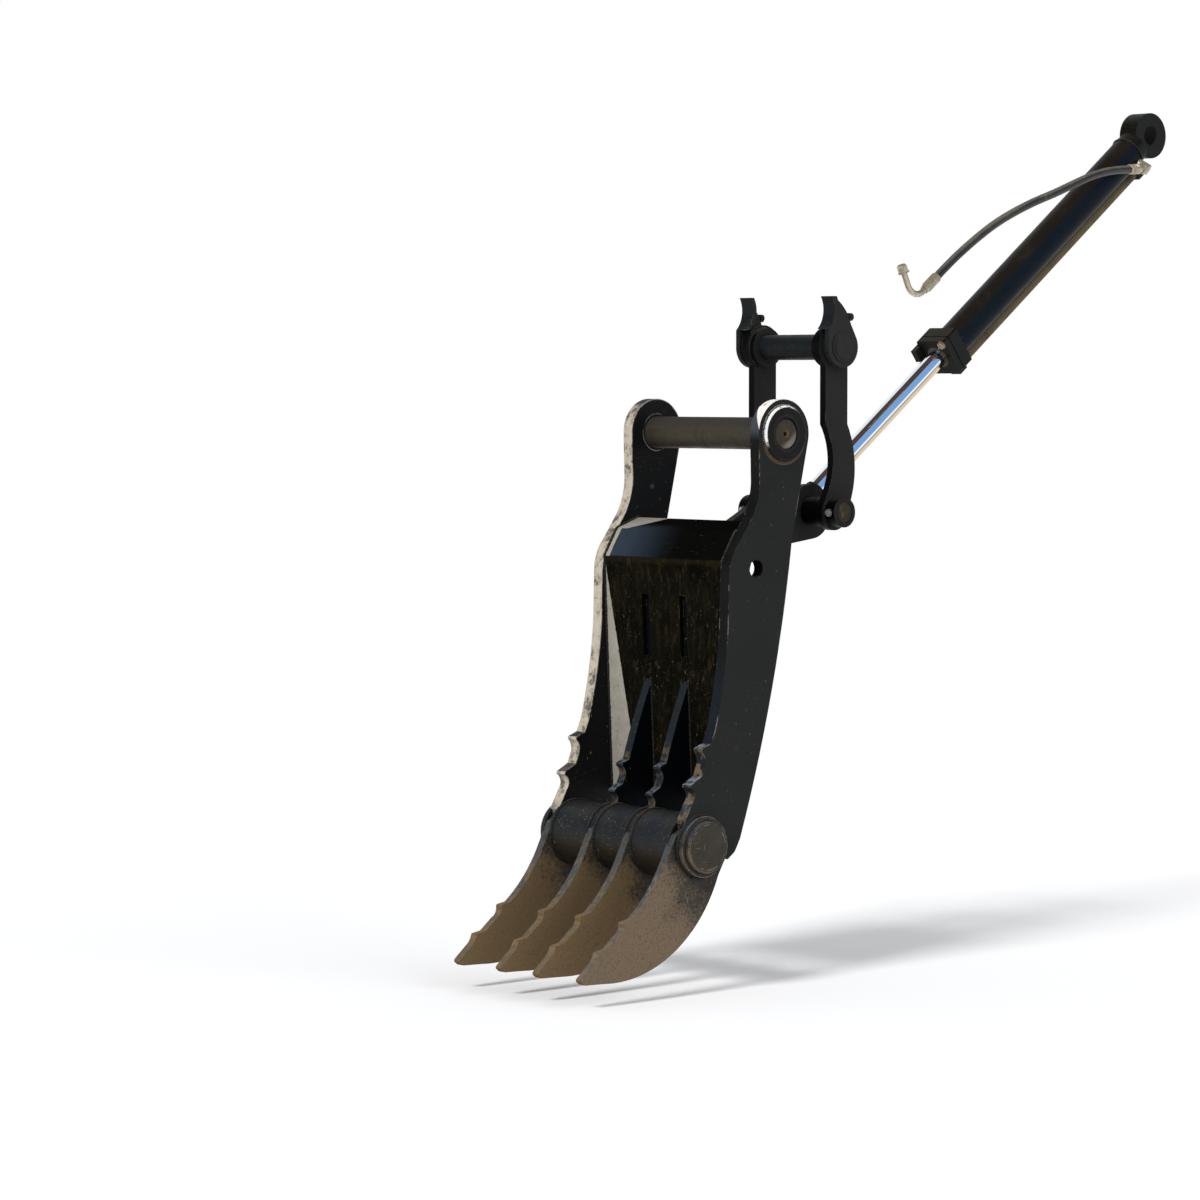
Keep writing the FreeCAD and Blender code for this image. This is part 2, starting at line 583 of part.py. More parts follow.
def make_rod():
    pin_bore = KNUCKLE_PIN / 2 + BUSH_WALL
    neck_end = EYE_RADIUS + 22.0
    eye = disc((0, 0), EYE_RADIUS, -EYE_WIDTH / 2, EYE_WIDTH / 2)
    neck = Part.makeCone(EYE_WIDTH / 2 - 1, ROD_RADIUS + 2, neck_end - 45, V(45, 0, 0), V(1, 0, 0))
    eye = eye.fuse(neck).removeSplitter().cut(disc((0, 0), pin_bore, -EYE_WIDTH, EYE_WIDTH))
    nodes["rod_eye"] = placed(eye)
    half = EYE_WIDTH / 2
    nodes["rod_eye_bush"] = placed(ring((0, 0), pin_bore, KNUCKLE_PIN / 2 + FIT, -half, half))
    spigot = ROD_RADIUS - 7
    piston_end = PISTON_START + PISTON_LENGTH
    rod = bar(ROD_RADIUS, neck_end, PISTON_START).fuse(bar(spigot, PISTON_START, piston_end + NUT_LENGTH))
    nodes["piston_rod"] = placed(rod.removeSplitter())
    piston = bar(BORE_RADIUS - 1, PISTON_START, piston_end).cut(bar(spigot, PISTON_START - 1, piston_end + 1))
    seal_depth = 4.0
    seals = []
    for start in (PISTON_START + 9, PISTON_START + 31):
        groove = bar(BORE_RADIUS, start, start + 10).cut(bar(BORE_RADIUS - 1 - seal_depth, start, start + 10))
        piston = piston.cut(groove)
        seal = bar(BORE_RADIUS - FIT, start, start + 10)
        seals.append(placed(seal.cut(bar(BORE_RADIUS - 1 - seal_depth, start, start + 10))))
    nodes["piston"] = placed(piston)
    nodes["piston_seals"] = Part.makeCompound(seals)
    nut = hexagon(46.0, V(piston_end, 0, 0), V(1, 0, 0), NUT_LENGTH)
    nodes["piston_nut"] = placed(nut.cut(bar(spigot, piston_end - 1, piston_end + NUT_LENGTH + 1)))


def make_barrel():
    outside = BORE_RADIUS + BARREL_WALL
    gland_end = GLAND_START + GLAND_LENGTH
    tube = bar(outside, gland_end, PLUG_START).cut(bar(BORE_RADIUS, gland_end - 1, PLUG_START + 1))
    nodes["barrel_tube"] = placed(tube)
    corner = V(GLAND_START, -GLAND_WIDTH / 2, -GLAND_HEIGHT / 2)
    block = Part.makeBox(GLAND_LENGTH, GLAND_WIDTH, GLAND_HEIGHT, corner)
    long_edges = [e for e in block.Edges if abs(e.BoundBox.XLength - GLAND_LENGTH) < 0.01]
    block = block.makeFillet(6.0, long_edges)
    depth = GLAND_GROOVE
    corner = corner + V(GLAND_FLANGE, 0, 0)
    groove = Part.makeBox(depth, GLAND_WIDTH, GLAND_HEIGHT, corner)
    core = Part.makeBox(depth, GLAND_WIDTH - 2 * depth, GLAND_HEIGHT - 2 * depth, corner + V(0, depth, depth))
    port_block = Part.makeBox(*PORT_BLOCK, V(GLAND_START - PORT_BLOCK_REACH, GLAND_WIDTH / 2, -2.0))
    block = block.cut(groove.cut(core)).fuse(port_block)
    tube_z = -(outside + TRANSFER_RADIUS + 2.0)
    boss_low = tube_z - TRANSFER_RADIUS - 4.0
    boss = Part.makeBox(30.0, 34.0, -boss_low, V(gland_end - 30.0, -17.0, boss_low))
    block = block.fuse(boss).fuse(bar(BORE_RADIUS - FIT, gland_end, gland_end + GLAND_NOSE))
    wiper_depth = 8.0
    block = block.cut(bar(ROD_RADIUS + FIT, GLAND_START - 1, gland_end + GLAND_NOSE + 1))
    block = block.cut(bar(ROD_RADIUS + 7, GLAND_START - 1, GLAND_START + wiper_depth))
    block = block.cut(bar(TRANSFER_RADIUS, gland_end - 12.0, gland_end + 1, 0, tube_z))
    nodes["gland_block"] = placed(block.removeSplitter())
    wiper = bar(ROD_RADIUS + 7, GLAND_START, GLAND_START + wiper_depth)
    nodes["rod_wiper"] = placed(wiper.cut(bar(ROD_RADIUS + FIT, GLAND_START - 1, GLAND_START + 20)))
    bolts = []
    for side in (-1, 1):
        place = V(GLAND_START, side * (GLAND_WIDTH / 2 - 12.0), -side * (GLAND_HEIGHT / 2 - 12.0))
        bolts.append(placed(hexagon(GLAND_BOLT_HEAD, place, V(-1, 0, 0), 8.0)))
    nodes["gland_bolts"] = Part.makeCompound(bolts)
    plug_end = CYLINDER_LENGTH - EYE_RADIUS + 12.0
    plug = bar(outside, PLUG_START, plug_end)
    eye = disc((CYLINDER_LENGTH, 0), EYE_RADIUS, -EYE_WIDTH / 2, EYE_WIDTH / 2)
    bore = BASE_PIN / 2 + BUSH_WALL
    base = plug.fuse(eye)
    port_s = PLUG_START + 8.0
    transfer_boss = Part.makeBox(34.0, 34.0, -boss_low, V(port_s - 26.0, -17.0, boss_low))
    shell = bar(outside, port_s - 40.0, PLUG_START)
    base = base.fuse(transfer_boss.cut(shell))
    base = base.cut(disc((CYLINDER_LENGTH, 0), bore, -EYE_WIDTH, EYE_WIDTH))
    base = base.cut(bar(TRANSFER_RADIUS, port_s - 27.0, port_s - 14.0, 0, tube_z))
    nodes["barrel_base"] = placed(base.removeSplitter())
    half = EYE_WIDTH / 2
    nodes["base_bush"] = placed(ring((CYLINDER_LENGTH, 0), bore, BASE_PIN / 2, -half, half))
    nodes["transfer_tube"] = placed(bar(TRANSFER_RADIUS, gland_end - 12.0, port_s - 14.0, 0, tube_z))


# Hose: ferrules, the hose between them, and the bent steel pipe with its nut at the far end
def rod_between(start, end, radius):
    first = V(*start)
    along = V(*end) - first
    return Part.makeCylinder(radius, along.Length, first, along)


def swept(points, radius, share):
    """A round bar along straight runs joined by arcs, each using a share of its shorter run."""
    places = [V(*p) for p in points]
    edges = []
    start = places[0]
    for before, corner, after in zip(places, places[1:], places[2:]):
        inward = (corner - before).normalize()
        outward = (after - corner).normalize()
        turn = inward.getAngle(outward)
        cut = share * min((corner - before).Length, (after - corner).Length)
        bend = cut / math.tan(turn / 2)
        depth = bend * (1 / math.cos(turn / 2) - 1)
        middle = corner + (outward - inward).normalize() * depth
        edges.append(Part.LineSegment(start, corner - inward * cut).toShape())
        edges.append(Part.Arc(corner - inward * cut, middle, corner + outward * cut).toShape())
        start = corner + outward * cut
    edges.append(Part.LineSegment(start, places[-1]).toShape())
    path = Part.Wire(edges)
    first = (places[1] - places[0]).normalize()
    section = Part.Wire(Part.makeCircle(radius, places[0], first))
    return path.makePipeShell([section], True, True)


def beyond(points, length):
    """The point in line with the last run of a route, a length further on."""
    last = V(*points[-1])
    return last + (last - V(*points[-2])).normalize() * length


def make_hose():
    nodes["hose"] = swept(HOSE_ROUTE, HOSE_RADIUS, HOSE_BENDS)
    base_route = HOSE_ROUTE[1::-1]
    base_ferrule = beyond(base_route, FERRULE_LENGTH)
    far_ferrule = beyond(HOSE_ROUTE, FERRULE_LENGTH)
    base_end = rod_between(HOSE_ROUTE[0], base_ferrule, FERRULE_RADIUS)
    far_end = rod_between(HOSE_ROUTE[-1], far_ferrule, FERRULE_RADIUS)
    nodes["hose_ferrules"] = Part.makeCompound([base_end, far_end])
    nodes["hose_end_pipe"] = swept([far_ferrule] + PIPE_ROUTE, PIPE_RADIUS, PIPE_BENDS).cut(far_end)
    tip = V(*PIPE_ROUTE[-1])
    along = (tip - V(*PIPE_ROUTE[-2])).normalize()
    nodes["hose_end_nut"] = hexagon(24.0, tip, along, 22.0)
    port = beyond(base_route, FERRULE_LENGTH + PORT_REACH)
    knuckle = V(KNUCKLE[0], 0, KNUCKLE[1])
    axis = (V(BASE_EYE[0], 0, BASE_EYE[1]) - knuckle).normalize()
    foot = knuckle + axis * (port - knuckle).dot(axis)
    away = (port - foot).normalize()
    wall = foot + away * BORE_RADIUS
    boss = Part.makeCylinder(PORT_RADIUS, (port - wall).Length + 8.0, wall, away)
    barrel = placed(bar(BORE_RADIUS + BARREL_WALL, 0.0, CYLINDER_LENGTH))
    swivel = hexagon(27.0, base_ferrule, port - base_ferrule, 14.0)
    elbow = rod_between(base_ferrule, port, HOSE_RADIUS).fuse(swivel)
    nodes["port_fitting"] = boss.cut(barrel).fuse(elbow).removeSplitter()


make_side_plates()
make_face_plate()
make_inner_tines()
make_cross_tube()
make_claws()
make_main_pin()
make_link_pin()
make_drive_links()
make_follower()
make_rod()
make_barrel()
make_hose()

os.makedirs("parts", exist_ok=True)
for name, shape in nodes.items():
    if not shape.isValid() or not shape.Solids:
        print("check", name, shape.isValid(), len(shape.Solids))
    shape.exportStep("parts/" + name + ".step")
print(len(nodes), "nodes")
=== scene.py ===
import math

import bpy
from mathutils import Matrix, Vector


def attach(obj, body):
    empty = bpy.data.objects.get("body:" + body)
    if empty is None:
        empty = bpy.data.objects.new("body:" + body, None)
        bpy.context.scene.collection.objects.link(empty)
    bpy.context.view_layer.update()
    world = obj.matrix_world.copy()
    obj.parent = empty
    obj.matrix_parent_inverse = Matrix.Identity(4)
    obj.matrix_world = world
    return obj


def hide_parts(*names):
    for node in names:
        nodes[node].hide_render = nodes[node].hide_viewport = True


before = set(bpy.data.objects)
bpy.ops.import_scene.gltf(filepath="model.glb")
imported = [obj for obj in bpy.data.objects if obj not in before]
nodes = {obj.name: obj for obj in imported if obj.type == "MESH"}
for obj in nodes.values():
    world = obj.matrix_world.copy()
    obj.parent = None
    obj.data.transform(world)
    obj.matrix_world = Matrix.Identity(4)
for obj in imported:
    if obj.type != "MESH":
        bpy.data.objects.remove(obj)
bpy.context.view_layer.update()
scene = bpy.context.scene

# The camera stands low on the near side, in front of the thumb and well away from it, as
# for a long lens, and looks slightly down at the middle of the linkage.
camera = bpy.data.objects.new("camera", bpy.data.cameras.new("camera"))
scene.collection.objects.link(camera)
camera.data.lens = 124.68
camera.data.sensor_width = 36.0
camera.data.clip_end = 200.0
camera.location = (-7.1237, -7.6544, 0.1253)
camera.rotation_euler = (Vector((-0.2385, 0.1663, -0.4189)) - camera.location).to_track_quat("-Z", "Y").to_euler()
scene.camera = camera
scene.view_settings.view_transform = "Standard"


# The studio has a pale floor under the hanging thumb and a white surround. Overhead it is blue
# in front, dark in the middle and pale behind, which gloss shows. Two broad lamps light it.
def wire(tree, kind, inputs=None, **settings):
    """One node of a tree. An input is a value, or the output of another node."""
    node = tree.nodes.new(kind)
    for name, value in settings.items():
        setattr(node, name, value)
    for key, value in (inputs or {}).items():
        if isinstance(value, bpy.types.NodeSocket):
            tree.links.new(value, node.inputs[key])
        else:
            node.inputs[key].default_value = value
    return node


def math_of(tree, operation, first, second=None):
    """One sum of two values."""
    node = wire(tree, "ShaderNodeMath", {0: first}, operation=operation)
    if isinstance(second, bpy.types.NodeSocket):
        tree.links.new(second, node.inputs[1])
    elif second is not None:
        node.inputs[1].default_value = second
    return node.outputs[0]


def ramp(tree, value, low, high):
    """0 at low, 1 at high, and smooth between them."""
    return wire(tree, "ShaderNodeMapRange", {"Value": value, "From Min": low, "From Max": high},
                interpolation_type="SMOOTHSTEP").outputs["Result"]


world = bpy.data.worlds.new("studio")
world.use_nodes = True
scene.world = world
tree = world.node_tree
tree.nodes.clear()
path = wire(tree, "ShaderNodeLightPath")
sky_place = wire(tree, "ShaderNodeTexCoord")
way = wire(tree, "ShaderNodeSeparateXYZ", {0: sky_place.outputs["Generated"]})
overhead = wire(tree, "ShaderNodeValToRGB", {0: math_of(tree, "MULTIPLY", math_of(tree, "ADD", way.outputs["Y"], 1.0), 0.5)})
for position, colour in ((0.24, (0.20, 0.40, 0.72, 1)), (0.265, (0.29, 0.44, 0.76, 1)), (0.28, (0.09, 0.055, 0.045, 1)),
                         (0.71, (0.08, 0.05, 0.042, 1)), (0.74, (0.85, 0.92, 1.0, 1))):
    stop = overhead.color_ramp.elements.new(position)
    stop.color = colour
overhead.color_ramp.elements.remove(overhead.color_ramp.elements[0])
overhead.color_ramp.elements.remove(overhead.color_ramp.elements[-1])
shaded = wire(tree, "ShaderNodeMix", {0: ramp(tree, way.outputs["X"], -0.20, -0.08), 6: (0.08, 0.09, 0.11, 1)}, data_type="RGBA")
tree.links.new(overhead.outputs["Color"], shaded.inputs[7])
sky = wire(tree, "ShaderNodeMix", {0: ramp(tree, way.outputs["Z"], 0.17, 0.26), 6: (1, 1, 1, 1)}, data_type="RGBA")
tree.links.new(shaded.outputs[2], sky.inputs[7])
even = wire(tree, "ShaderNodeBackground", {"Color": (0.96, 0.97, 1.0, 1), "Strength": 0.55})
shown = wire(tree, "ShaderNodeBackground", {"Color": sky.outputs[2], "Strength": 1.0})
rays = [path.outputs[name] for name in ("Is Camera Ray", "Is Glossy Ray", "Is Transmission Ray")]
direct = math_of(tree, "MAXIMUM", math_of(tree, "MAXIMUM", rays[0], rays[1]), rays[2])
seen = wire(tree, "ShaderNodeMixShader", {0: direct, 1: even.outputs[0], 2: shown.outputs[0]})
wire(tree, "ShaderNodeOutputWorld", {"Surface": seen.outputs[0]})

FLOOR = -1.37
floor_mesh = bpy.data.meshes.new("floor")
floor_mesh.from_pydata([(-60, -60, FLOOR), (60, -60, FLOOR), (60, 60, FLOOR), (-60, 60, FLOOR)], [], [(0, 1, 2, 3)])
floor = bpy.data.objects.new("floor", floor_mesh)
scene.collection.objects.link(floor)
floor_paint = bpy.data.materials.new("studio_floor")
floor_paint.use_nodes = True
tree = floor_paint.node_tree
skin = tree.nodes["Principled BSDF"]
skin.inputs["Base Color"].default_value = (0.88, 0.88, 0.88, 1)
skin.inputs["Roughness"].default_value = 0.9
skin.inputs["Specular IOR Level"].default_value = 0.1
away = wire(tree, "ShaderNodeVectorMath", {0: wire(tree, "ShaderNodeTexCoord").outputs["Object"]}, operation="LENGTH")
glow = wire(tree, "ShaderNodeEmission", {"Color": (1, 1, 1, 1), "Strength": 1.0})
fade = wire(tree, "ShaderNodeMixShader", {0: ramp(tree, away.outputs["Value"], 1.8, 4.5), 1: skin.outputs[0], 2: glow.outputs[0]})
tree.links.new(fade.outputs[0], tree.nodes["Material Output"].inputs["Surface"])
floor_mesh.materials.append(floor_paint)

for name, power, turn, spread in (("key", 2.5, (48, 0, -78), 14), ("fill", 0.8, (62, 0, 18), 40)):
    lamp = bpy.data.objects.new(name, bpy.data.lights.new(name, "SUN"))
    lamp.data.energy = power
    lamp.data.angle = math.radians(spread)
    lamp.rotation_euler = [math.radians(a) for a in turn]
    scene.collection.objects.link(lamp)
lamp.visible_glossy = False


# Every steel piece is cut, turned or forged, so its round faces are smooth and its edges sharp.
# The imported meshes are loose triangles: they are joined and shaded smooth up to an angle.
def geometry_tree(name, inputs=()):
    """A Geometry Nodes tree that takes and gives geometry, with named inputs (name, type, value)."""
    group = bpy.data.node_groups.new(name, "GeometryNodeTree")
    group.interface.new_socket("Geometry", in_out="INPUT", socket_type="NodeSocketGeometry")
    for label, kind, value in inputs:
        socket = group.interface.new_socket(label, in_out="INPUT", socket_type="NodeSocket" + kind)
        if value is not None:
            socket.default_value = value
    group.interface.new_socket("Geometry", in_out="OUTPUT", socket_type="NodeSocketGeometry")
    return group, wire(group, "NodeGroupInput").outputs


smooth_faces, given = geometry_tree("smooth_faces", [("Sharp From", "Float", math.radians(28))])
joined = wire(smooth_faces, "GeometryNodeMergeByDistance", {"Geometry": given["Geometry"], "Distance": 0.00001})
soft_all = wire(smooth_faces, "GeometryNodeSetShadeSmooth", {"Geometry": joined.outputs[0]}, domain="FACE")
bend = wire(smooth_faces, "GeometryNodeInputMeshEdgeAngle")
sharp = wire(smooth_faces, "FunctionNodeCompare", {0: bend.outputs[0], 1: given["Sharp From"]}, operation="GREATER_THAN")
crisp = wire(smooth_faces, "GeometryNodeSetShadeSmooth",
             {"Geometry": soft_all.outputs[0], "Selection": sharp.outputs[0], "Shade Smooth": False}, domain="EDGE")
wire(smooth_faces, "NodeGroupOutput", {0: crisp.outputs[0]})
for piece in nodes.values():
    piece.modifiers.new("smooth_faces", "NODES").node_group = smooth_faces


# The two side plates are flame cut from 32 mm steel and painted a dull black. Dust lies in the
# paint, and the cut edges and the noses of the teeth are rubbed through to bare steel. Light and
# shade are painted on as well: darker forward edges and a darker far plate as painted shade, a
# cold blue painted sky sheen, and painted sunlight highlights on the near ear's rim and the far
# plate's front edge.
def shader_group(name, inputs, outputs):
    """An empty shader group with named inputs (name, type, value) and outputs (name, type)."""
    group = bpy.data.node_groups.new(name, "ShaderNodeTree")
    for label, kind, value in inputs:
        socket = group.interface.new_socket(label, in_out="INPUT", socket_type="NodeSocket" + kind)
        if value is not None:
            socket.default_value = value
    for label, kind in outputs:
        group.interface.new_socket(label, in_out="OUTPUT", socket_type="NodeSocket" + kind)
    return group, wire(group, "NodeGroupInput").outputs


def mixed(tree, share, first, second):
    """Two colours mixed by a share."""
    node = wire(tree, "ShaderNodeMix", {0: share}, data_type="RGBA")
    for index, colour in ((6, first), (7, second)):
        if isinstance(colour, bpy.types.NodeSocket):
            tree.links.new(colour, node.inputs[index])
        else:
            node.inputs[index].default_value = tuple(colour) + (1,)
    return node.outputs[2]


def noise(tree, place, scale, detail=4.0, rough=0.55):
    """A cloudy pattern from 0 to 1."""
    return wire(tree, "ShaderNodeTexNoise", {"Vector": place, "Scale": scale, "Detail": detail, "Roughness": rough}).outputs["Fac"]


def stretched(tree, place, scale, turn=(0.0, 0.0, 0.0)):
    """The place, scaled and turned, for patterns that run one way."""
    return wire(tree, "ShaderNodeMapping", {"Vector": place, "Scale": scale, "Rotation": turn}).outputs[0]


def place_in(tree, place):
    """X, Y and Z of a place."""
    return wire(tree, "ShaderNodeSeparateXYZ", {0: place}).outputs


dust_group, given = shader_group(
    "dust",
    [("Place", "Vector", None), ("Patch Size", "Float", 9.0), ("Cover", "Float", 0.5), ("On Top", "Float", 0.5),
     ("Streaks", "Float", 0.2)],
    [("Cover", "Float"), ("Tone", "Float")])
patches = noise(dust_group, given["Place"], given["Patch Size"], 7.0, 0.65)
grit = noise(dust_group, given["Place"], 380.0, 3.0, 0.7)
facing = place_in(dust_group, wire(dust_group, "ShaderNodeTexCoord").outputs["Normal"])
upward = math_of(dust_group, "MULTIPLY", ramp(dust_group, facing["Z"], 0.1, 0.9), given["On Top"])
runs = ramp(dust_group, noise(dust_group, stretched(dust_group, given["Place"], (60.0, 60.0, 5.0)), 1.0, 5.0), 0.5, 0.75)
runs = math_of(dust_group, "MULTIPLY", runs, given["Streaks"])
level = math_of(dust_group, "ADD", math_of(dust_group, "MULTIPLY", patches, 0.8), math_of(dust_group, "MULTIPLY", grit, 0.4))
wanted = math_of(dust_group, "ADD", math_of(dust_group, "ADD", given["Cover"], upward), runs)
cover = ramp(dust_group, math_of(dust_group, "SUBTRACT", level, math_of(dust_group, "SUBTRACT", 1.05, wanted)), -0.2, 0.3)
wire(dust_group, "NodeGroupOutput", {"Cover": cover, "Tone": grit})

edge_group, given = shader_group(
    "worn_edges",
    [("Place", "Vector", None), ("Reach", "Float", 0.004), ("Amount", "Float", 0.5)],
    [("Wear", "Float"), ("Normal", "Vector")])
broad = wire(edge_group, "ShaderNodeBevel", {"Radius": given["Reach"]}, samples=6)
narrow = wire(edge_group, "ShaderNodeBevel", {"Radius": 0.0012}, samples=4)
flat = wire(edge_group, "ShaderNodeNewGeometry").outputs["Normal"]
alike = wire(edge_group, "ShaderNodeVectorMath", {0: broad.outputs[0], 1: flat}, operation="DOT_PRODUCT").outputs["Value"]
edge = ramp(edge_group, math_of(edge_group, "SUBTRACT", 1.0, alike), 0.005, 0.12)
chips = noise(edge_group, given["Place"], 45.0, 9.0, 0.72)
lengths = noise(edge_group, given["Place"], 9.0, 3.0)
worn_there = math_of(edge_group, "ADD", math_of(edge_group, "MULTIPLY", chips, 0.6), math_of(edge_group, "MULTIPLY", lengths, 0.6))
limit = math_of(edge_group, "SUBTRACT", 0.92, math_of(edge_group, "MULTIPLY", given["Amount"], 0.55))
chipped = ramp(edge_group, math_of(edge_group, "SUBTRACT", worn_there, limit), 0.0, 0.10)
wire(edge_group, "NodeGroupOutput", {"Wear": math_of(edge_group, "MULTIPLY", edge, chipped), "Normal": narrow.outputs[0]})

speck_group, given = shader_group(
    "dry_mud_specks",
    [("Place", "Vector", None), ("Scale", "Float", 150.0), ("Amount", "Float", 0.3)],
    [("Specks", "Float"), ("Tone", "Float")])
ragged = wire(speck_group, "ShaderNodeTexNoise", {"Vector": given["Place"], "Scale": 240.0, "Detail": 2.0}).outputs["Color"]
shifted = wire(speck_group, "ShaderNodeVectorMath", {0: ragged, 1: (0.004, 0.004, 0.010)}, operation="MULTIPLY").outputs[0]
bent = wire(speck_group, "ShaderNodeVectorMath", {0: given["Place"], 1: shifted}, operation="ADD").outputs[0]
clusters = ramp(speck_group, noise(speck_group, given["Place"], 14.0, 4.0), 0.35, 0.65)
specks = None
for coarser, largest in ((1.0, 0.30), (2.3, 0.36), (0.45, 0.20)):
    size = math_of(speck_group, "MULTIPLY", given["Scale"], coarser)
    cells = wire(speck_group, "ShaderNodeTexVoronoi", {"Vector": stretched(speck_group, bent, (1.0, 1.0, 0.6)), "Scale": size})
    chance = wire(speck_group, "ShaderNodeSeparateColor", {0: cells.outputs["Color"]}).outputs
    share = math_of(speck_group, "MULTIPLY", given["Amount"], math_of(speck_group, "ADD", clusters, 0.35))
    chosen = ramp(speck_group, math_of(speck_group, "SUBTRACT", share, chance[0]), 0.0, 0.04)
    radius = math_of(speck_group, "MULTIPLY", chance[1], largest)
    drop = ramp(speck_group, math_of(speck_group, "SUBTRACT", radius, cells.outputs["Distance"]), -0.02, 0.10)
    spot = math_of(speck_group, "MULTIPLY", chosen, drop)
    specks = spot if specks is None else math_of(speck_group, "MAXIMUM", specks, spot)
wire(speck_group, "NodeGroupOutput", {"Specks": specks, "Tone": noise(speck_group, given["Place"], 90.0, 2.0)})

scratch_group, given = shader_group(
    "scratches",
    [("Place", "Vector", None), ("Amount", "Float", 0.3)],
    [("Scratches", "Float")])
lines = None
for turn, scale in (((0.5, 0.3, 0.2), (26, 26, 700)), ((-0.7, 0.9, 0.1), (18, 620, 18)), ((0.2, -0.5, 0.8), (30, 30, 820))):
    line = ramp(scratch_group, noise(scratch_group, stretched(scratch_group, given["Place"], scale, turn), 1.0, 1.0), 0.74, 0.80)
    lines = line if lines is None else math_of(scratch_group, "MAXIMUM", lines, line)
rubbed = ramp(scratch_group, noise(scratch_group, given["Place"], 7.0, 3.0), 0.62, 0.38)
thin = math_of(scratch_group, "MULTIPLY", math_of(scratch_group, "MULTIPLY", lines, rubbed), given["Amount"])
wire(scratch_group, "NodeGroupOutput", {"Scratches": thin})


def painted_steel(name, paint, dust_colour, cover=0.3, on_top=0.35, patch=9.0, streaks=0.1, specks=0.12,
                  speck_size=150.0, speck_colour=(0.20, 0.15, 0.09), wear=0.45, reach=0.004,
                  steel=(0.26, 0.235, 0.20), scratched=0.3, gloss=0.45, shine=0.1, flame_cut=0.0, zone=None, layers=()):
    """Old paint on steel with dust, dry mud and worn edges. A zone adds dust. Layers are (where, colour)."""
    material = bpy.data.materials.new(name)
    material.use_nodes = True
    tree = material.node_tree
    place = wire(tree, "ShaderNodeTexCoord").outputs["Object"]
    extra = zone(tree, place) if zone else None
    dust = wire(tree, "ShaderNodeGroup", {}, node_tree=dust_group)
    worn = wire(tree, "ShaderNodeGroup", {}, node_tree=edge_group)
    mud = wire(tree, "ShaderNodeGroup", {}, node_tree=speck_group)
    scratches = wire(tree, "ShaderNodeGroup", {}, node_tree=scratch_group)
    for effect, values in ((dust, {"Patch Size": patch, "Cover": cover, "On Top": on_top, "Streaks": streaks}),
                           (worn, {"Reach": reach, "Amount": wear}),
                           (mud, {"Scale": speck_size, "Amount": specks}),
                           (scratches, {"Amount": scratched})):
        tree.links.new(place, effect.inputs["Place"])
        for label, value in values.items():
            effect.inputs[label].default_value = value
    if extra:
        tree.links.new(math_of(tree, "ADD", extra, cover), dust.inputs["Cover"])
        tree.links.new(math_of(tree, "ADD", math_of(tree, "MULTIPLY", extra, 0.5), specks), mud.inputs["Amount"])
    shade = noise(tree, place, 3.5, 5.0)
    colour = mixed(tree, shade, [c * 0.7 for c in paint], [c * 1.4 for c in paint])
    tint = mixed(tree, dust.outputs["Tone"], [c * 0.7 for c in dust_colour], [c * 1.3 for c in dust_colour])
    colour = mixed(tree, dust.outputs["Cover"], colour, tint)
    for where, laid in layers:
        uneven = mixed(tree, noise(tree, place, 30.0, 6.0, 0.7), [c * 0.65 for c in laid], [c * 1.3 for c in laid])
        colour = mixed(tree, where(tree, place), colour, uneven)
    colour = mixed(tree, scratches.outputs["Scratches"], colour, steel)
    clod = mixed(tree, mud.outputs["Tone"], [c * 0.5 for c in speck_colour], [c * 1.4 for c in speck_colour])
    colour = mixed(tree, mud.outputs["Specks"], colour, clod)
    bare = mixed(tree, dust.outputs["Tone"], [c * 0.6 for c in steel], [c * 1.3 for c in steel])
    colour = mixed(tree, worn.outputs["Wear"], colour, bare)
    skin = tree.nodes["Principled BSDF"]
    tree.links.new(colour, skin.inputs["Base Color"])
    handled = math_of(tree, "MULTIPLY", noise(tree, place, 22.0, 5.0, 0.6), 0.25)
    dull = math_of(tree, "ADD", math_of(tree, "MULTIPLY", dust.outputs["Cover"], 0.35), math_of(tree, "ADD", handled, gloss - 0.12))
    tree.links.new(math_of(tree, "MAXIMUM", dull, math_of(tree, "MULTIPLY", mud.outputs["Specks"], 0.9)), skin.inputs["Roughness"])
    tree.links.new(math_of(tree, "MULTIPLY", worn.outputs["Wear"], 0.45), skin.inputs["Metallic"])
    skin.inputs["Specular IOR Level"].default_value = shine
    relief = math_of(tree, "MULTIPLY", noise(tree, place, 230.0, 2.0), 0.35)
    relief = math_of(tree, "ADD", relief, math_of(tree, "MULTIPLY", mud.outputs["Specks"], 0.9))
    relief = math_of(tree, "SUBTRACT", relief, math_of(tree, "MULTIPLY", worn.outputs["Wear"], 0.5))
    if flame_cut:
        across = place_in(tree, wire(tree, "ShaderNodeTexCoord").outputs["Normal"])["Y"]
        cut_face = ramp(tree, math_of(tree, "ABSOLUTE", across), 0.6, 0.2)
        drag_lines = noise(tree, stretched(tree, place, (420.0, 22.0, 420.0)), 1.0, 3.0)
        relief = math_of(tree, "ADD", relief, math_of(tree, "MULTIPLY", math_of(tree, "MULTIPLY", drag_lines, cut_face), flame_cut))
    bump = wire(tree, "ShaderNodeBump", {"Height": relief, "Normal": worn.outputs["Normal"], "Strength": 0.5, "Distance": 0.001})
    tree.links.new(bump.outputs[0], skin.inputs["Normal"])
    return material


def finish_in(material, *names):
    """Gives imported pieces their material."""
    for name in names:
        nodes[name].material_slots[0].material = material


def looks(tree, axis, low, high):
    """1 where a face looks along an axis ("X", "Y" or "Z"), from a low to a high share."""
    return ramp(tree, place_in(tree, wire(tree, "ShaderNodeTexCoord").outputs["Normal"])[axis], low, high)


def low_front(tree, place):
    """More dust on the lower, front part of the plates, where the load rubs."""
    at = place_in(tree, place)
    return math_of(tree, "MULTIPLY", ramp(tree, math_of(tree, "MULTIPLY", at["Z"], -1.0), 0.55, 1.1), 0.06)


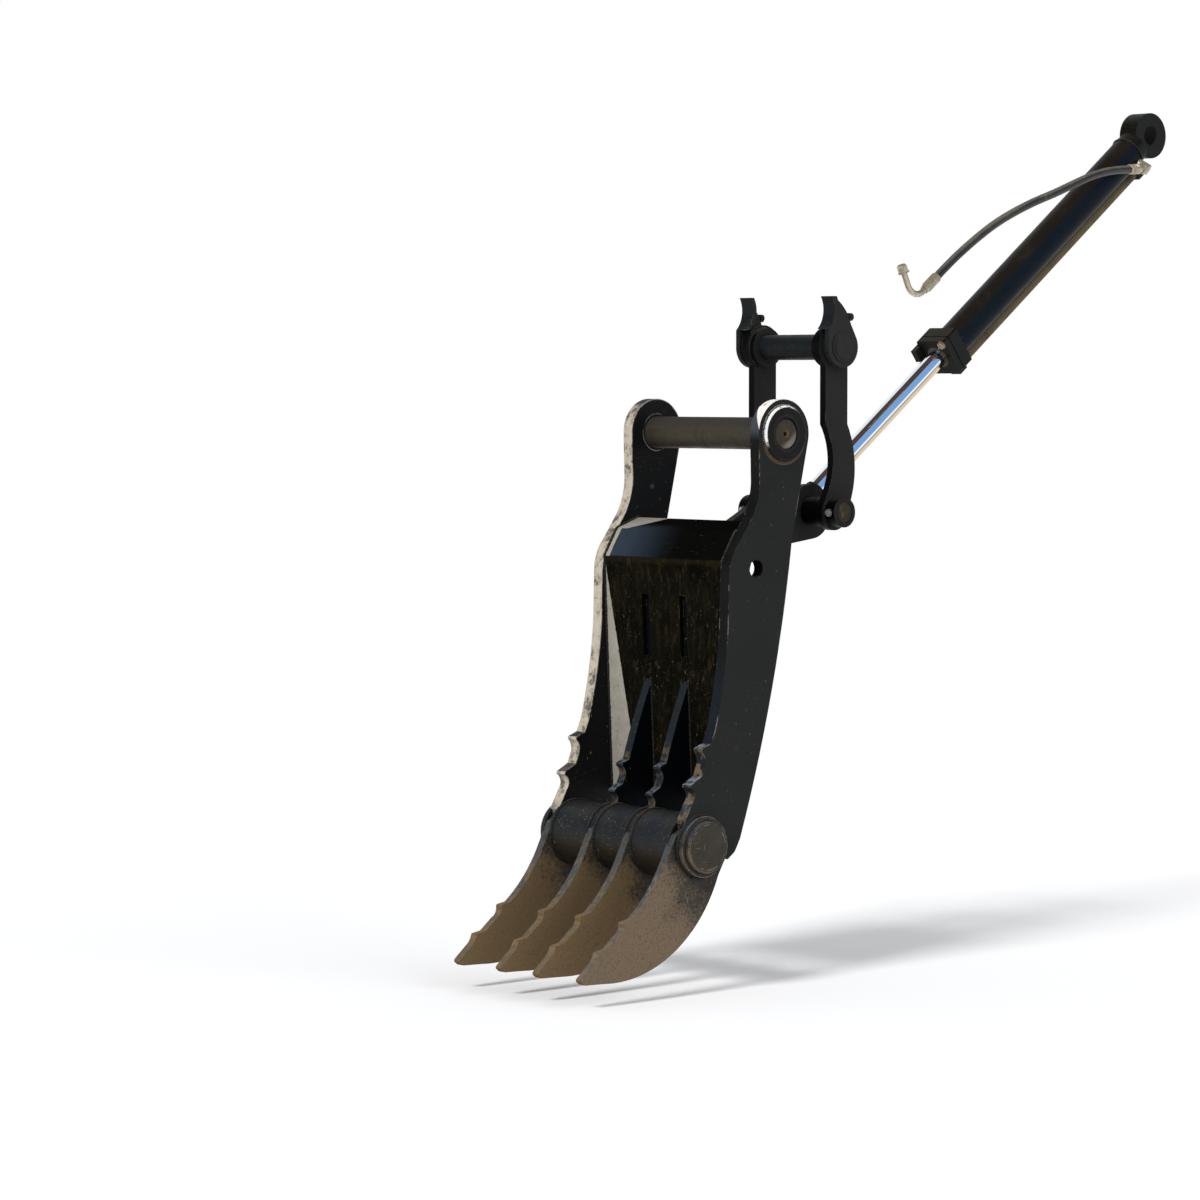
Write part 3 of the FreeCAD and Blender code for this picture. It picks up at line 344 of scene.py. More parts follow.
def forward_edge_shade(tree, place):
    """The cut edges that look forward, painted darker than the faces as shade."""
    return looks(tree, "X", -0.4, -0.8)


def low_edge_sky_sheen(tree, place):
    """The lower front edges, with a cold blue black painted on as sky sheen."""
    return math_of(tree, "MULTIPLY", looks(tree, "X", -0.4, -0.8), ramp(tree, place_in(tree, place)["Z"], -0.50, -0.66))


def round_pin(tree, place, inside, outside):
    """A ring round the main pin, between two radii."""
    at = place_in(tree, place)
    flat = wire(tree, "ShaderNodeCombineXYZ", {0: at["X"], 1: at["Z"]})
    far = wire(tree, "ShaderNodeVectorMath", {0: flat.outputs[0]}, operation="LENGTH").outputs["Value"]
    return math_of(tree, "MULTIPLY", ramp(tree, far, inside - 0.001, inside + 0.001), ramp(tree, far, outside + 0.001, outside - 0.001))


def ear_rim_highlight(tree, place):
    """A painted sunlight highlight on the upper front of the near ear's rim, from its outer side inwards."""
    inwards = math_of(tree, "MULTIPLY", math_of(tree, "ADD", place_in(tree, place)["Y"], 0.250), 19.0)
    height = place_in(tree, wire(tree, "ShaderNodeTexCoord").outputs["Normal"])["Z"]
    rim = ramp(tree, math_of(tree, "SUBTRACT", height, inwards), 0.10, 0.18)
    rim = math_of(tree, "MULTIPLY", rim, looks(tree, "X", 0.02, -0.12))
    near = math_of(tree, "MULTIPLY", round_pin(tree, place, 0.0, 0.105), ramp(tree, noise(tree, place, 60.0, 6.0, 0.7), 0.36, 0.44))
    return math_of(tree, "MULTIPLY", rim, near)


def ear_rim_sky_sheen(tree, place):
    """A grey blue painted sky sheen on the rest of the ear's rim."""
    high = math_of(tree, "MULTIPLY", looks(tree, "X", -0.35, -0.6), ramp(tree, place_in(tree, place)["Z"], -0.02, 0.02))
    return math_of(tree, "MULTIPLY", high, round_pin(tree, place, 0.080, 0.105))


def under_boss(tree, place):
    """Brown dust that lies along the lower side of the boss."""
    low = ramp(tree, place_in(tree, place)["Z"], -0.015, -0.055)
    return math_of(tree, "MULTIPLY", low, round_pin(tree, place, 0.0, 0.0775))


def far_edge_sunlight(tree, place):
    """Painted sunlight on the front edge of the far plate, pale and broken by darker patches."""
    # Where the painted sunlight shows, broken up in patches.
    bare = math_of(tree, "ADD", 0.22, math_of(tree, "MULTIPLY", 0.78, ramp(tree, noise(tree, place, 30.0, 9.0, 0.78), 0.40, 0.52)))
    low = ramp(tree, place_in(tree, place)["Z"], -1.00, -0.90)
    return math_of(tree, "MULTIPLY", math_of(tree, "MULTIPLY", looks(tree, "X", -0.4, -0.8), bare), low)


def muddy_teeth(tree, place):
    """Tan mud in patches on the faces of the teeth that look forward."""
    low = ramp(tree, place_in(tree, place)["Z"], -0.755, -0.775)
    patch = ramp(tree, noise(tree, place, 42.0, 5.0, 0.65), 0.46, 0.60)
    return math_of(tree, "MULTIPLY", math_of(tree, "MULTIPLY", looks(tree, "X", -0.5, -0.8), low), patch)


def tooth_top_sky_sheen(tree, place):
    """A painted cold sky sheen on the tops of the teeth."""
    low = ramp(tree, place_in(tree, place)["Z"], -0.70, -0.74)
    top = math_of(tree, "MULTIPLY", looks(tree, "Z", 0.45, 0.75), looks(tree, "X", -0.02, -0.15))
    return math_of(tree, "MULTIPLY", math_of(tree, "MULTIPLY", top, low), ramp(tree, noise(tree, place, 80.0, 5.0, 0.7), 0.38, 0.58))


# Painted light on the near plate: forward edges darker as shade, a blue sky sheen on the lower edges, the rim and the
# tops of the teeth, and a white sunlight highlight on the ear's rim.
near_paint = painted_steel("side_plate_paint", (0.0138, 0.0146, 0.0142), (0.036, 0.033, 0.027), cover=0.16, on_top=0.3,
                           specks=0.04, speck_size=170.0, speck_colour=(0.10, 0.088, 0.068), wear=0.54, reach=0.005,
                           steel=(0.22, 0.20, 0.17), scratched=0.08, shine=0.06, flame_cut=0.9, zone=low_front,
                           layers=[(forward_edge_shade, (0.0040, 0.0041, 0.0036)), (low_edge_sky_sheen, (0.0070, 0.0100, 0.0145)),
                                   (ear_rim_sky_sheen, (0.040, 0.052, 0.060)), (ear_rim_highlight, (0.74, 0.71, 0.66)),
                                   (under_boss, (0.085, 0.055, 0.030)), (muddy_teeth, (0.105, 0.078, 0.048)),
                                   (tooth_top_sky_sheen, (0.16, 0.18, 0.21))])
finish_in(near_paint, "side_plate_near")
# The far plate's black is darker than the near plate's same paint, as painted shade, and its front edge carries painted
# sunlight.
far_paint = painted_steel("far_plate_paint", (0.0045, 0.0048, 0.0052), (0.05, 0.045, 0.038), cover=0.10, on_top=0.3,
                          specks=0.05, wear=0.7, reach=0.006, steel=(0.50, 0.46, 0.40), scratched=0.12,
                          flame_cut=0.9, layers=[(far_edge_sunlight, (0.41, 0.36, 0.285))])
finish_in(far_paint, "side_plate_far")

# The bosses round the main pin are turned rings, welded to the ears, and each holds a bush that
# is black with old grease. Their rims carry a painted sunlight highlight, white from the front to
# the top.
def boss_edge_highlight(tree, place):
    """A painted sunlight highlight on the rim of the boss, from its front to its top."""
    arc = math_of(tree, "MULTIPLY", looks(tree, "X", 0.45, 0.15), looks(tree, "Z", -0.38, -0.12))
    # The painted highlight, broken up in patches.
    rubbed = ramp(tree, noise(tree, place, 55.0, 6.0, 0.7), 0.34, 0.44)
    return math_of(tree, "MULTIPLY", math_of(tree, "MULTIPLY", arc, rubbed), round_pin(tree, place, 0.0655, 0.2))


boss_paint = painted_steel("boss_paint", (0.0062, 0.0062, 0.0056), (0.034, 0.029, 0.021), cover=0.20, on_top=0.3,
                           specks=0.04, wear=0.45, reach=0.003, steel=(0.16, 0.16, 0.16), gloss=0.38, shine=0.08,
                           layers=[(boss_edge_highlight, (0.72, 0.71, 0.69))])
finish_in(boss_paint, "pivot_boss_near", "pivot_boss_far")


def bare_metal(name, colour, rough, tint=(0.06, 0.05, 0.04), dirt=0.3, patch=30.0, layers=()):
    """Machined metal that is greased and dusty in places. Layers are (where, colour)."""
    material = bpy.data.materials.new(name)
    material.use_nodes = True
    tree = material.node_tree
    place = wire(tree, "ShaderNodeTexCoord").outputs["Object"]
    dust = wire(tree, "ShaderNodeGroup", {"Place": place}, node_tree=dust_group)
    dust.inputs["Cover"].default_value = dirt
    dust.inputs["Patch Size"].default_value = patch
    worn = wire(tree, "ShaderNodeGroup", {"Place": place}, node_tree=edge_group)
    skin = tree.nodes["Principled BSDF"]
    surface = mixed(tree, dust.outputs["Cover"], colour, tint)
    covered = math_of(tree, "MULTIPLY", dust.outputs["Cover"], 0.8)
    for where, laid in layers:
        share = where(tree, place)
        surface = mixed(tree, share, surface, laid)
        covered = math_of(tree, "MAXIMUM", covered, share)
    tree.links.new(surface, skin.inputs["Base Color"])
    tree.links.new(math_of(tree, "SUBTRACT", 1.0, covered), skin.inputs["Metallic"])
    tree.links.new(math_of(tree, "ADD", math_of(tree, "MULTIPLY", dust.outputs["Cover"], 0.4), rough), skin.inputs["Roughness"])
    grain = noise(tree, place, 500.0, 2.0)
    bump = wire(tree, "ShaderNodeBump", {"Height": grain, "Normal": worn.outputs["Normal"], "Strength": 0.12, "Distance": 0.0005})
    tree.links.new(bump.outputs[0], skin.inputs["Normal"])
    return material


greased = bare_metal("greased_bronze", (0.05, 0.04, 0.026), 0.5, tint=(0.006, 0.006, 0.006), dirt=0.85)
finish_in(greased, "pivot_bush_near", "pivot_bush_far", "link_bush_near", "link_bush_far", "follower_hub_bush",
          "follower_eye_bushes", "rod_eye_bush", "base_bush")


# The face plate is one 16 mm plate bent twice between the side plates. It takes the load, so
# brown dust, specks of dry mud and scratches cover it, most of all along its edges and bend. Its
# black is painted far darker than the side plates' as shade, with painted sky sheen on the bend
# and painted sunlight along the far plate.
def face_dust_and_slot_shade(tree, place):
    """More dust along the bend, less on the panel above it, and less inside the slots, which keeps their walls dark as
    painted shade.
    """
    at = place_in(tree, place)
    bend_line = ramp(tree, math_of(tree, "ABSOLUTE", math_of(tree, "ADD", at["Z"], 0.316)), 0.014, 0.0)
    clean_and_shaded = math_of(tree, "MAXIMUM", ramp(tree, at["Z"], -0.312, -0.306), looks(tree, "X", -0.8, -0.4))
    return math_of(tree, "SUBTRACT", math_of(tree, "MULTIPLY", bend_line, 0.30), math_of(tree, "MULTIPLY", clean_and_shaded, 0.45))


def bend_sky_sheen(tree, place):
    """A painted cold blue sky sheen on the bent panel, stronger towards the far end."""
    at = place_in(tree, place)
    panel = math_of(tree, "MULTIPLY", ramp(tree, at["Z"], -0.311, -0.308), ramp(tree, at["Z"], -0.228, -0.240))
    return math_of(tree, "MULTIPLY", panel, ramp(tree, at["Y"], -0.04, 0.20))


def caked(tree, place):
    """Brown mud rubbed along the plate in short marks."""
    marks = noise(tree, stretched(tree, place, (75.0, 75.0, 32.0), (0.25, 0.0, 0.0)), 1.0, 5.0, 0.65)
    front = math_of(tree, "MULTIPLY", looks(tree, "X", -0.4, -0.8), ramp(tree, place_in(tree, place)["Z"], -0.305, -0.318))
    return math_of(tree, "MULTIPLY", math_of(tree, "MULTIPLY", ramp(tree, marks, 0.50, 0.72), 0.75), front)


def face_sunlight_strip(tree, place):
    """Painted sunlight by the far plate, pale: a strip that widens downwards, and the far end of the bend."""
    at = place_in(tree, place)
    ragged = math_of(tree, "MULTIPLY", math_of(tree, "SUBTRACT", noise(tree, place, 70.0, 4.0), 0.5), 0.006)
    below = math_of(tree, "SUBTRACT", -0.314, at["Z"])
    start = math_of(tree, "SUBTRACT", 0.218, math_of(tree, "MULTIPLY", below, 0.180))
    wedge = ramp(tree, math_of(tree, "SUBTRACT", math_of(tree, "ADD", at["Y"], ragged), start), -0.0012, 0.0012)
    wedge = math_of(tree, "MULTIPLY", wedge, ramp(tree, below, 0.0, 0.004))
    end = ramp(tree, math_of(tree, "ADD", at["Y"], ragged), 0.1985, 0.2010)
    top = math_of(tree, "ADD", 0.098, math_of(tree, "MULTIPLY", math_of(tree, "SUBTRACT", -0.216, at["Z"]), 3.2))
    back = math_of(tree, "MULTIPLY", ramp(tree, math_of(tree, "SUBTRACT", at["Y"], top), -0.002, 0.002), ramp(tree, at["Z"], -0.2425, -0.2405))
    upper = math_of(tree, "MULTIPLY", math_of(tree, "MAXIMUM", end, back), ramp(tree, at["Z"], -0.312, -0.309))
    front = looks(tree, "X", -0.2, -0.4)
    return math_of(tree, "MULTIPLY", math_of(tree, "MAXIMUM", wedge, upper), front)


# The base black is painted far darker than the side plates', as shade.
face_paint = painted_steel("face_plate_dust", (0.0024, 0.0025, 0.0019), (0.0098, 0.0082, 0.0042), cover=0.36, on_top=0.0,
                           patch=8.0, streaks=0.2, specks=0.20, speck_size=135.0, speck_colour=(0.070, 0.052, 0.030),
                           wear=0.5, reach=0.004, steel=(0.075, 0.054, 0.030), scratched=0.9, gloss=0.42, shine=0.0,
                           zone=face_dust_and_slot_shade, layers=[(caked, (0.023, 0.0175, 0.0090)), (bend_sky_sheen, (0.024, 0.034, 0.048)),
                                                   (face_sunlight_strip, (0.285, 0.265, 0.225))])
finish_in(face_paint, "face_plate")


# Two inner tines stand behind the face plate, show through its slots and come out below it.
# Their flanks are painted a bluish black, far darker than the side plates, as shade between the
# plates. Dry mud sticks to their rubbed front edges, which carry a painted blue sky sheen.
def tine_front(tree, place):
    """The tines' front edges below the slots."""
    low = ramp(tree, place_in(tree, place)["Z"], -0.600, -0.612)
    return math_of(tree, "MULTIPLY", looks(tree, "X", -0.4, -0.8), low)


def tine_dust(tree, place):
    return math_of(tree, "MULTIPLY", tine_front(tree, place), 0.18)


# The dark flanks are painted shade, and the bluish front edges a painted sky sheen.
tine_paint = painted_steel("inner_tine_paint", (0.0020, 0.0026, 0.0034), (0.035, 0.028, 0.019), cover=0.08, on_top=0.3,
                           specks=0.04, speck_colour=(0.16, 0.125, 0.08), wear=0.55, reach=0.005,
                           steel=(0.060, 0.062, 0.065), scratched=0.2, shine=0.03, zone=tine_dust,
                           layers=[(tine_front, (0.0125, 0.0155, 0.0190)), (muddy_teeth, (0.062, 0.050, 0.035)),
                                   (tooth_top_sky_sheen, (0.085, 0.105, 0.130))])
finish_in(tine_paint, "inner_tine_near", "inner_tine_far")
pin_steel = bare_metal("pin_steel", (0.11, 0.098, 0.080), 0.42, tint=(0.030, 0.024, 0.016), dirt=0.50)
finish_in(pin_steel, "follower_pin", "follower_pin_collars")

# The cross tube ties the side plates together above the claws. Its end caps pass the plates
# and are welded on with a collar outside. Here the paint is scratched and full of dust.
def tube_under(tree, place):
    """Brown on the lower half of the tube, where it looks down."""
    return math_of(tree, "MULTIPLY", looks(tree, "Z", 0.25, -0.35), 0.7)


tube_paint = painted_steel("cross_tube_paint", (0.0095, 0.0120, 0.0145), (0.045, 0.036, 0.024), cover=0.22, on_top=0.1,
                           patch=14.0, specks=0.34, speck_size=190.0, speck_colour=(0.15, 0.108, 0.058), wear=0.75,
                           reach=0.004, steel=(0.16, 0.125, 0.08), scratched=0.8, layers=[(tube_under, (0.022, 0.015, 0.0065))])
def cap_low(tree, place):
    """Tan on the lower front of the collars, where they look down."""
    return math_of(tree, "MULTIPLY", looks(tree, "Z", 0.15, -0.25), looks(tree, "X", 0.4, 0.0))


def cap_top_sky_sheen(tree, place):
    """A painted cold blue sky sheen along the top of the collars."""
    return looks(tree, "Z", 0.40, 0.75)


def cap_marks(tree, place):
    """Broken pale rings turned into the end of the cap."""
    at = place_in(tree, place)
    flat = wire(tree, "ShaderNodeCombineXYZ", {0: math_of(tree, "ADD", at["X"], 0.277), 1: math_of(tree, "ADD", at["Z"], 1.003)})
    far = wire(tree, "ShaderNodeVectorMath", {0: flat.outputs[0]}, operation="LENGTH").outputs["Value"]
    rings = None
    for radius, strength in ((0.0135, 0.45), (0.0555, 1.0)):
        ring = ramp(tree, math_of(tree, "ABSOLUTE", math_of(tree, "SUBTRACT", far, radius)), 0.0011, 0.0004)
        ring = math_of(tree, "MULTIPLY", ring, strength)
        rings = ring if rings is None else math_of(tree, "MAXIMUM", rings, ring)
    return math_of(tree, "MULTIPLY", rings, ramp(tree, noise(tree, place, 38.0, 4.0, 0.6), 0.46, 0.60))


cap_paint = painted_steel("tube_cap_paint", (0.0185, 0.0195, 0.0195), (0.070, 0.062, 0.050), cover=0.30, on_top=0.0,
                          patch=22.0, specks=0.14, speck_size=210.0, speck_colour=(0.19, 0.15, 0.095), wear=0.70,
                          reach=0.004, steel=(0.26, 0.23, 0.18), scratched=0.9, shine=0.06,
                          layers=[(cap_top_sky_sheen, (0.020, 0.030, 0.050)), (cap_low, (0.075, 0.056, 0.033)),
                                  (cap_marks, (0.19, 0.185, 0.17))])
finish_in(tube_paint, "cross_tube")
finish_in(cap_paint, "tube_cap_near", "tube_cap_far")


# The four claws are curved points of 22 mm wear plate round the cross tube. Use has taken
# the paint off them, and dry tan dust covers them, darker and speckled towards the tube. The inner
# and far claws take a deeper brown dust as painted shade.
def claw_dust(tree, place):
    at = place_in(tree, place)
    along = math_of(tree, "ADD", math_of(tree, "MULTIPLY", at["Z"], -0.55), math_of(tree, "MULTIPLY", at["X"], -0.84))
    grain = math_of(tree, "MULTIPLY", math_of(tree, "SUBTRACT", noise(tree, place, 130.0, 4.0, 0.7), 0.5), 0.25)
    patchy = math_of(tree, "MULTIPLY", math_of(tree, "SUBTRACT", noise(tree, place, 9.0, 3.0), 0.5), 0.15)
    along = math_of(tree, "ADD", along, math_of(tree, "ADD", grain, patchy))
    return math_of(tree, "MULTIPLY", ramp(tree, along, 0.80, 1.06), 0.80)


def claw_mud_and_bounce(tree, place):
    """Orange brown on the lower tips: mud in the hollows of the teeth, and painted warm light bounced from the ground
    on the faces that look down.
    """
    ahead = math_of(tree, "MULTIPLY", looks(tree, "Z", 0.32, 0.12), looks(tree, "X", -0.5, -0.8))
    low = ramp(tree, place_in(tree, place)["Z"], -1.14, -1.16)
    return math_of(tree, "MULTIPLY", math_of(tree, "MAXIMUM", ahead, looks(tree, "Z", -0.2, -0.6)), math_of(tree, "MULTIPLY", low, 0.85))


def claw_edge_sky_sheen(tree, place):
    """A painted cold grey sky sheen on the rubbed edges that look up and forward."""
    up = math_of(tree, "MULTIPLY", looks(tree, "Z", 0.30, 0.50), looks(tree, "X", -0.2, -0.4))
    upper = math_of(tree, "ADD", 0.45, math_of(tree, "MULTIPLY", ramp(tree, place_in(tree, place)["Z"], -1.18, -1.12), 0.55))
    patch = math_of(tree, "ADD", 0.25, ramp(tree, noise(tree, place, 50.0, 6.0, 0.7), 0.40, 0.60))
    return math_of(tree, "MULTIPLY", math_of(tree, "MULTIPLY", up, upper), patch)


def claw_pits(tree, place):
    """Fine dark speckles where the dust has come off."""
    return math_of(tree, "MULTIPLY", ramp(tree, noise(tree, place, 170.0, 3.0, 0.65), 0.53, 0.66), 0.55)


# The second finish, for the inner and far claws, is a shaded copy: its dust is a deeper brown, as painted shade.
for name, dust_and_shade_tint, claws in (("near_claw_dust", (0.152, 0.112, 0.074), ("claw_outer_near",)),
                              ("claw_dust", (0.158, 0.107, 0.054), ("claw_outer_far", "claw_inner_near", "claw_inner_far"))):
    finish = painted_steel(name, (0.027, 0.0260, 0.0235), dust_and_shade_tint, cover=0.26, on_top=0.0, patch=12.0, streaks=0.0,
                           specks=0.12, speck_size=190.0, speck_colour=(0.15, 0.115, 0.075), wear=0.60, reach=0.003,
                           steel=(0.16, 0.16, 0.155), scratched=0.35, gloss=0.5, shine=0.06, flame_cut=0.5, zone=claw_dust,
                           layers=[(claw_pits, (0.060, 0.050, 0.038)), (claw_mud_and_bounce, (0.125, 0.072, 0.032)),
                                   (claw_edge_sky_sheen, (0.052, 0.058, 0.064))])
    finish_in(finish, *claws)


# The thumb is one weldment. A bead of weld, laid in short overlapping steps, runs round the
# bosses and end caps, down both sides of the face plate, and round the tube at every plate.
weld_beads, given = geometry_tree("weld_beads", [("Step", "Float", 0.0045), ("Seed", "Int", 7), ("Finish", "Material", None)])
run = wire(weld_beads, "GeometryNodeMeshToCurve", {"Mesh": given["Geometry"]})
steps = wire(weld_beads, "GeometryNodeCurveToPoints", {"Curve": run.outputs[0], "Length": given["Step"]}, mode="LENGTH")
width = wire(weld_beads, "GeometryNodeInputNamedAttribute", {"Name": "width"}, data_type="FLOAT").outputs[0]
uneven = wire(weld_beads, "FunctionNodeRandomValue", {2: 0.82, 3: 1.18, "Seed": given["Seed"]}, data_type="FLOAT").outputs[1]
half_width = wire(weld_beads, "ShaderNodeMath", {0: width, 1: uneven}, operation="MULTIPLY").outputs[0]
long = wire(weld_beads, "ShaderNodeMath", {0: given["Step"], 1: 0.85}, operation="MULTIPLY").outputs[0]
scale = wire(weld_beads, "ShaderNodeCombineXYZ", {0: half_width, 1: half_width, 2: long})
drop = wire(weld_beads, "GeometryNodeMeshUVSphere", {"Segments": 10, "Rings": 6, "Radius": 1.0})
laid = wire(weld_beads, "GeometryNodeInstanceOnPoints", {"Points": steps.outputs["Points"], "Instance": drop.outputs["Mesh"],
            "Rotation": steps.outputs["Rotation"], "Scale": scale.outputs[0]})
solid = wire(weld_beads, "GeometryNodeRealizeInstances", {"Geometry": laid.outputs[0]})
smooth = wire(weld_beads, "GeometryNodeSetShadeSmooth", {"Geometry": solid.outputs[0]})
filled = wire(weld_beads, "GeometryNodeSetMaterial", {"Geometry": smooth.outputs[0], "Material": given["Finish"]})
wire(weld_beads, "NodeGroupOutput", {0: filled.outputs[0]})

# The welds round the near ear's boss carry a faint painted highlight from the ear's rim.
weld_finish = painted_steel("weld_paint", (0.010, 0.011, 0.012), (0.050, 0.040, 0.027), cover=0.28, on_top=0.3,
                            patch=26.0, specks=0.10, speck_size=230.0, wear=0.3, reach=0.002, gloss=0.4, shine=0.06, scratched=0.0,
                            layers=[(ear_rim_highlight, (0.16, 0.16, 0.165)), (under_boss, (0.085, 0.055, 0.030))])


def made_by(tree, name, places, edges, values, attributes):
    """Runs a Geometry Nodes tree on points and edges, and keeps its result as a plain piece."""
    mesh = bpy.data.meshes.new(name)
    mesh.from_pydata(places, edges, [])
    for label, (kind, numbers) in attributes.items():
        stored = mesh.attributes.new(label, kind, "POINT")
        stored.data.foreach_set("vector" if kind == "FLOAT_VECTOR" else "value", numbers)
    piece = bpy.data.objects.new(name, mesh)
    scene.collection.objects.link(piece)
    modifier = piece.modifiers.new(tree.name, "NODES")
    modifier.node_group = tree
    for item in tree.interface.items_tree:
        if item.in_out == "INPUT" and item.name in values:
            modifier[item.identifier] = values[item.name]
    scene.view_layers[0].update()
    result = bpy.data.meshes.new_from_object(piece.evaluated_get(bpy.context.evaluated_depsgraph_get()))
    piece.modifiers.clear()
    piece.data = result
    result.name = name
    return piece


def weld(name, body, rings=(), lines=(), step=0.0045):
    """Beads round rings (centre, axis, radius, width) and along lines (width, points) of one body."""
    places, edges, widths = [], [], []
    for centre, axis, radius, width in rings:
        axis = Vector(axis).normalized()
        side = axis.orthogonal().normalized()
        count = 36
        first = len(places)
        for index in range(count):
            turn = 2 * math.pi * index / count
            places.append(Vector(centre) + radius * (math.cos(turn) * side + math.sin(turn) * axis.cross(side)))
            edges.append((first + index, first + (index + 1) % count))
            widths.append(width)
    for width, points in lines:
        first = len(places)
        places.extend(Vector(p) for p in points)
        edges.extend((first + i, first + i + 1) for i in range(len(points) - 1))
        widths.extend([width] * len(points))
    piece = made_by(weld_beads, name, [tuple(p) for p in places], edges, {"Step": step, "Finish": weld_finish},
                    {"width": ("FLOAT", widths)})
    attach(piece, body)
    return piece


ACROSS = (0, 1, 0)
PLATE_FACE, PLATE_BACK = 0.250, 0.218
TUBE_PLACE = (-0.277, -1.003)
FACE_FRONT = [(-0.151, -0.905), (-0.178, -0.310), (-0.136, -0.241), (-0.065, -0.216)]
TINE_FACES = (0.0565, 0.0815)
rings, lines = [], []
for side in (-1, 1):
    rings.append(((0, side * PLATE_FACE, 0), ACROSS, 0.0705, 0.0040))
    rings.append(((TUBE_PLACE[0], side * 0.2490, TUBE_PLACE[1]), ACROSS, 0.0760, 0.0045))
    rings.append(((TUBE_PLACE[0], side * 0.2640, TUBE_PLACE[1]), ACROSS, 0.0650, 0.0022))
    rings.append(((TUBE_PLACE[0], side * PLATE_BACK, TUBE_PLACE[1]), ACROSS, 0.0805, 0.0050))
    rings.append(((0.0, side * TINE_FACES[1], -0.418), ACROSS, 0.0425, 0.0025))
    lines.append((0.0045, [(x, side * PLATE_BACK, z) for x, z in FACE_FRONT]))
    for face in TINE_FACES:
        rings.append(((TUBE_PLACE[0], side * face, TUBE_PLACE[1]), ACROSS, 0.0805, 0.0045))
        lines.append((0.0035, [(-0.1645, side * face, -0.614), (-0.1512, side * face, -0.904)]))
weld("thumb_welds", "thumb", rings, lines)

# The main pin is hard steel, chamfered at its ends, with a grease nipple deep in the hole.
def grease_mouth(tree, place):
    """Brown grease round the hole."""
    return math_of(tree, "MULTIPLY", round_pin(tree, place, 0.0, 0.0095), 0.9)


def pin_end_highlight(tree, place):
    """A painted highlight on the lower rear of the pin's end."""
    at = place_in(tree, place)
    lower = math_of(tree, "SUBTRACT", math_of(tree, "MULTIPLY", at["X"], 0.8), at["Z"])
    side = math_of(tree, "MULTIPLY", ramp(tree, lower, 0.012, 0.034), round_pin(tree, place, 0.019, 0.041))
    return math_of(tree, "MULTIPLY", side, 0.7)


# The pin's end carries a painted highlight on its lower rear, and brown grease round the hole.
main_steel = bare_metal("main_pin_steel", (0.072, 0.058, 0.037), 0.46, tint=(0.022, 0.017, 0.010), dirt=0.48, patch=24.0,
                        layers=[(pin_end_highlight, (0.20, 0.18, 0.145)), (grease_mouth, (0.095, 0.052, 0.024))])
finish_in(main_steel, "main_pin")


def turned(name, profiles, sides=40):
    """Turned pieces as one mesh. Each has a start, a direction and a profile of (distance, radius)."""
    places, faces = [], []
    for start, along, profile in profiles:
        start, along = Vector(start), Vector(along).normalized()
        side = along.orthogonal().normalized()
        first = len(places)
        for distance, radius in profile:
            for index in range(sides):
                turn = 2 * math.pi * index / sides
                out = math.cos(turn) * side + math.sin(turn) * along.cross(side)
                places.append(tuple(start + distance * along + radius * out))
        for step in range(len(profile) - 1):
            low = first + step * sides
            for index in range(sides):
                after = (index + 1) % sides
                faces.append((low + index, low + after, low + sides + after, low + sides + index))
        faces.append(tuple(first + index for index in reversed(range(sides))))
        last = first + (len(profile) - 1) * sides
        faces.append(tuple(last + index for index in range(sides)))
    mesh = bpy.data.meshes.new(name)
    mesh.from_pydata(places, [], faces)
    piece = bpy.data.objects.new(name, mesh)
    scene.collection.objects.link(piece)
    piece.modifiers.new("smooth_faces", "NODES").node_group = smooth_faces
    return piece


zinc = bare_metal("dulled_zinc", (0.40, 0.32, 0.21), 0.42, tint=(0.11, 0.084, 0.050), dirt=0.46)
nipple = turned("grease_nipple", [((0, -0.2275, 0), (0, -1, 0), [(0.0, 0.0055), (0.006, 0.0055), (0.0065, 0.0035),
                (0.010, 0.0035), (0.0105, 0.0024), (0.012, 0.0033), (0.0135, 0.0033), (0.015, 0.0018)])], sides=20)
nipple.data.materials.append(zinc)
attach(nipple, "stick_pins")

# The upper pin carries the drive links. A spacer, a flanged keeper plate with a pinch bolt and
# a collar hold each end, all under one coat of black.
# The keepers' forward edges are painted darker, as shade.
keeper_paint = painted_steel("keeper_paint", (0.0180, 0.0188, 0.0172), (0.036, 0.032, 0.023), cover=0.18, on_top=0.3,
                             specks=0.04, speck_size=190.0, speck_colour=(0.085, 0.068, 0.042), wear=0.50, reach=0.003,
                             steel=(0.13, 0.12, 0.10), scratched=0.3, gloss=0.4, shine=0.06,
                             layers=[(forward_edge_shade, (0.0085, 0.0105, 0.0115))])
finish_in(keeper_paint, "link_pin", "link_keeper_near", "link_keeper_far", "keeper_rings", "keeper_bolts")
# The links' forward edges are painted much darker, as shade.
link_paint = painted_steel("linkage_paint", (0.0166, 0.0173, 0.0163), (0.034, 0.030, 0.022), cover=0.16, on_top=0.3,
                           specks=0.04, speck_size=190.0, speck_colour=(0.085, 0.068, 0.042), wear=0.50, reach=0.003,
                           steel=(0.10, 0.092, 0.08), scratched=0.12, gloss=0.4, shine=0.03,
                           layers=[(forward_edge_shade, (0.0022, 0.0021, 0.0019))])

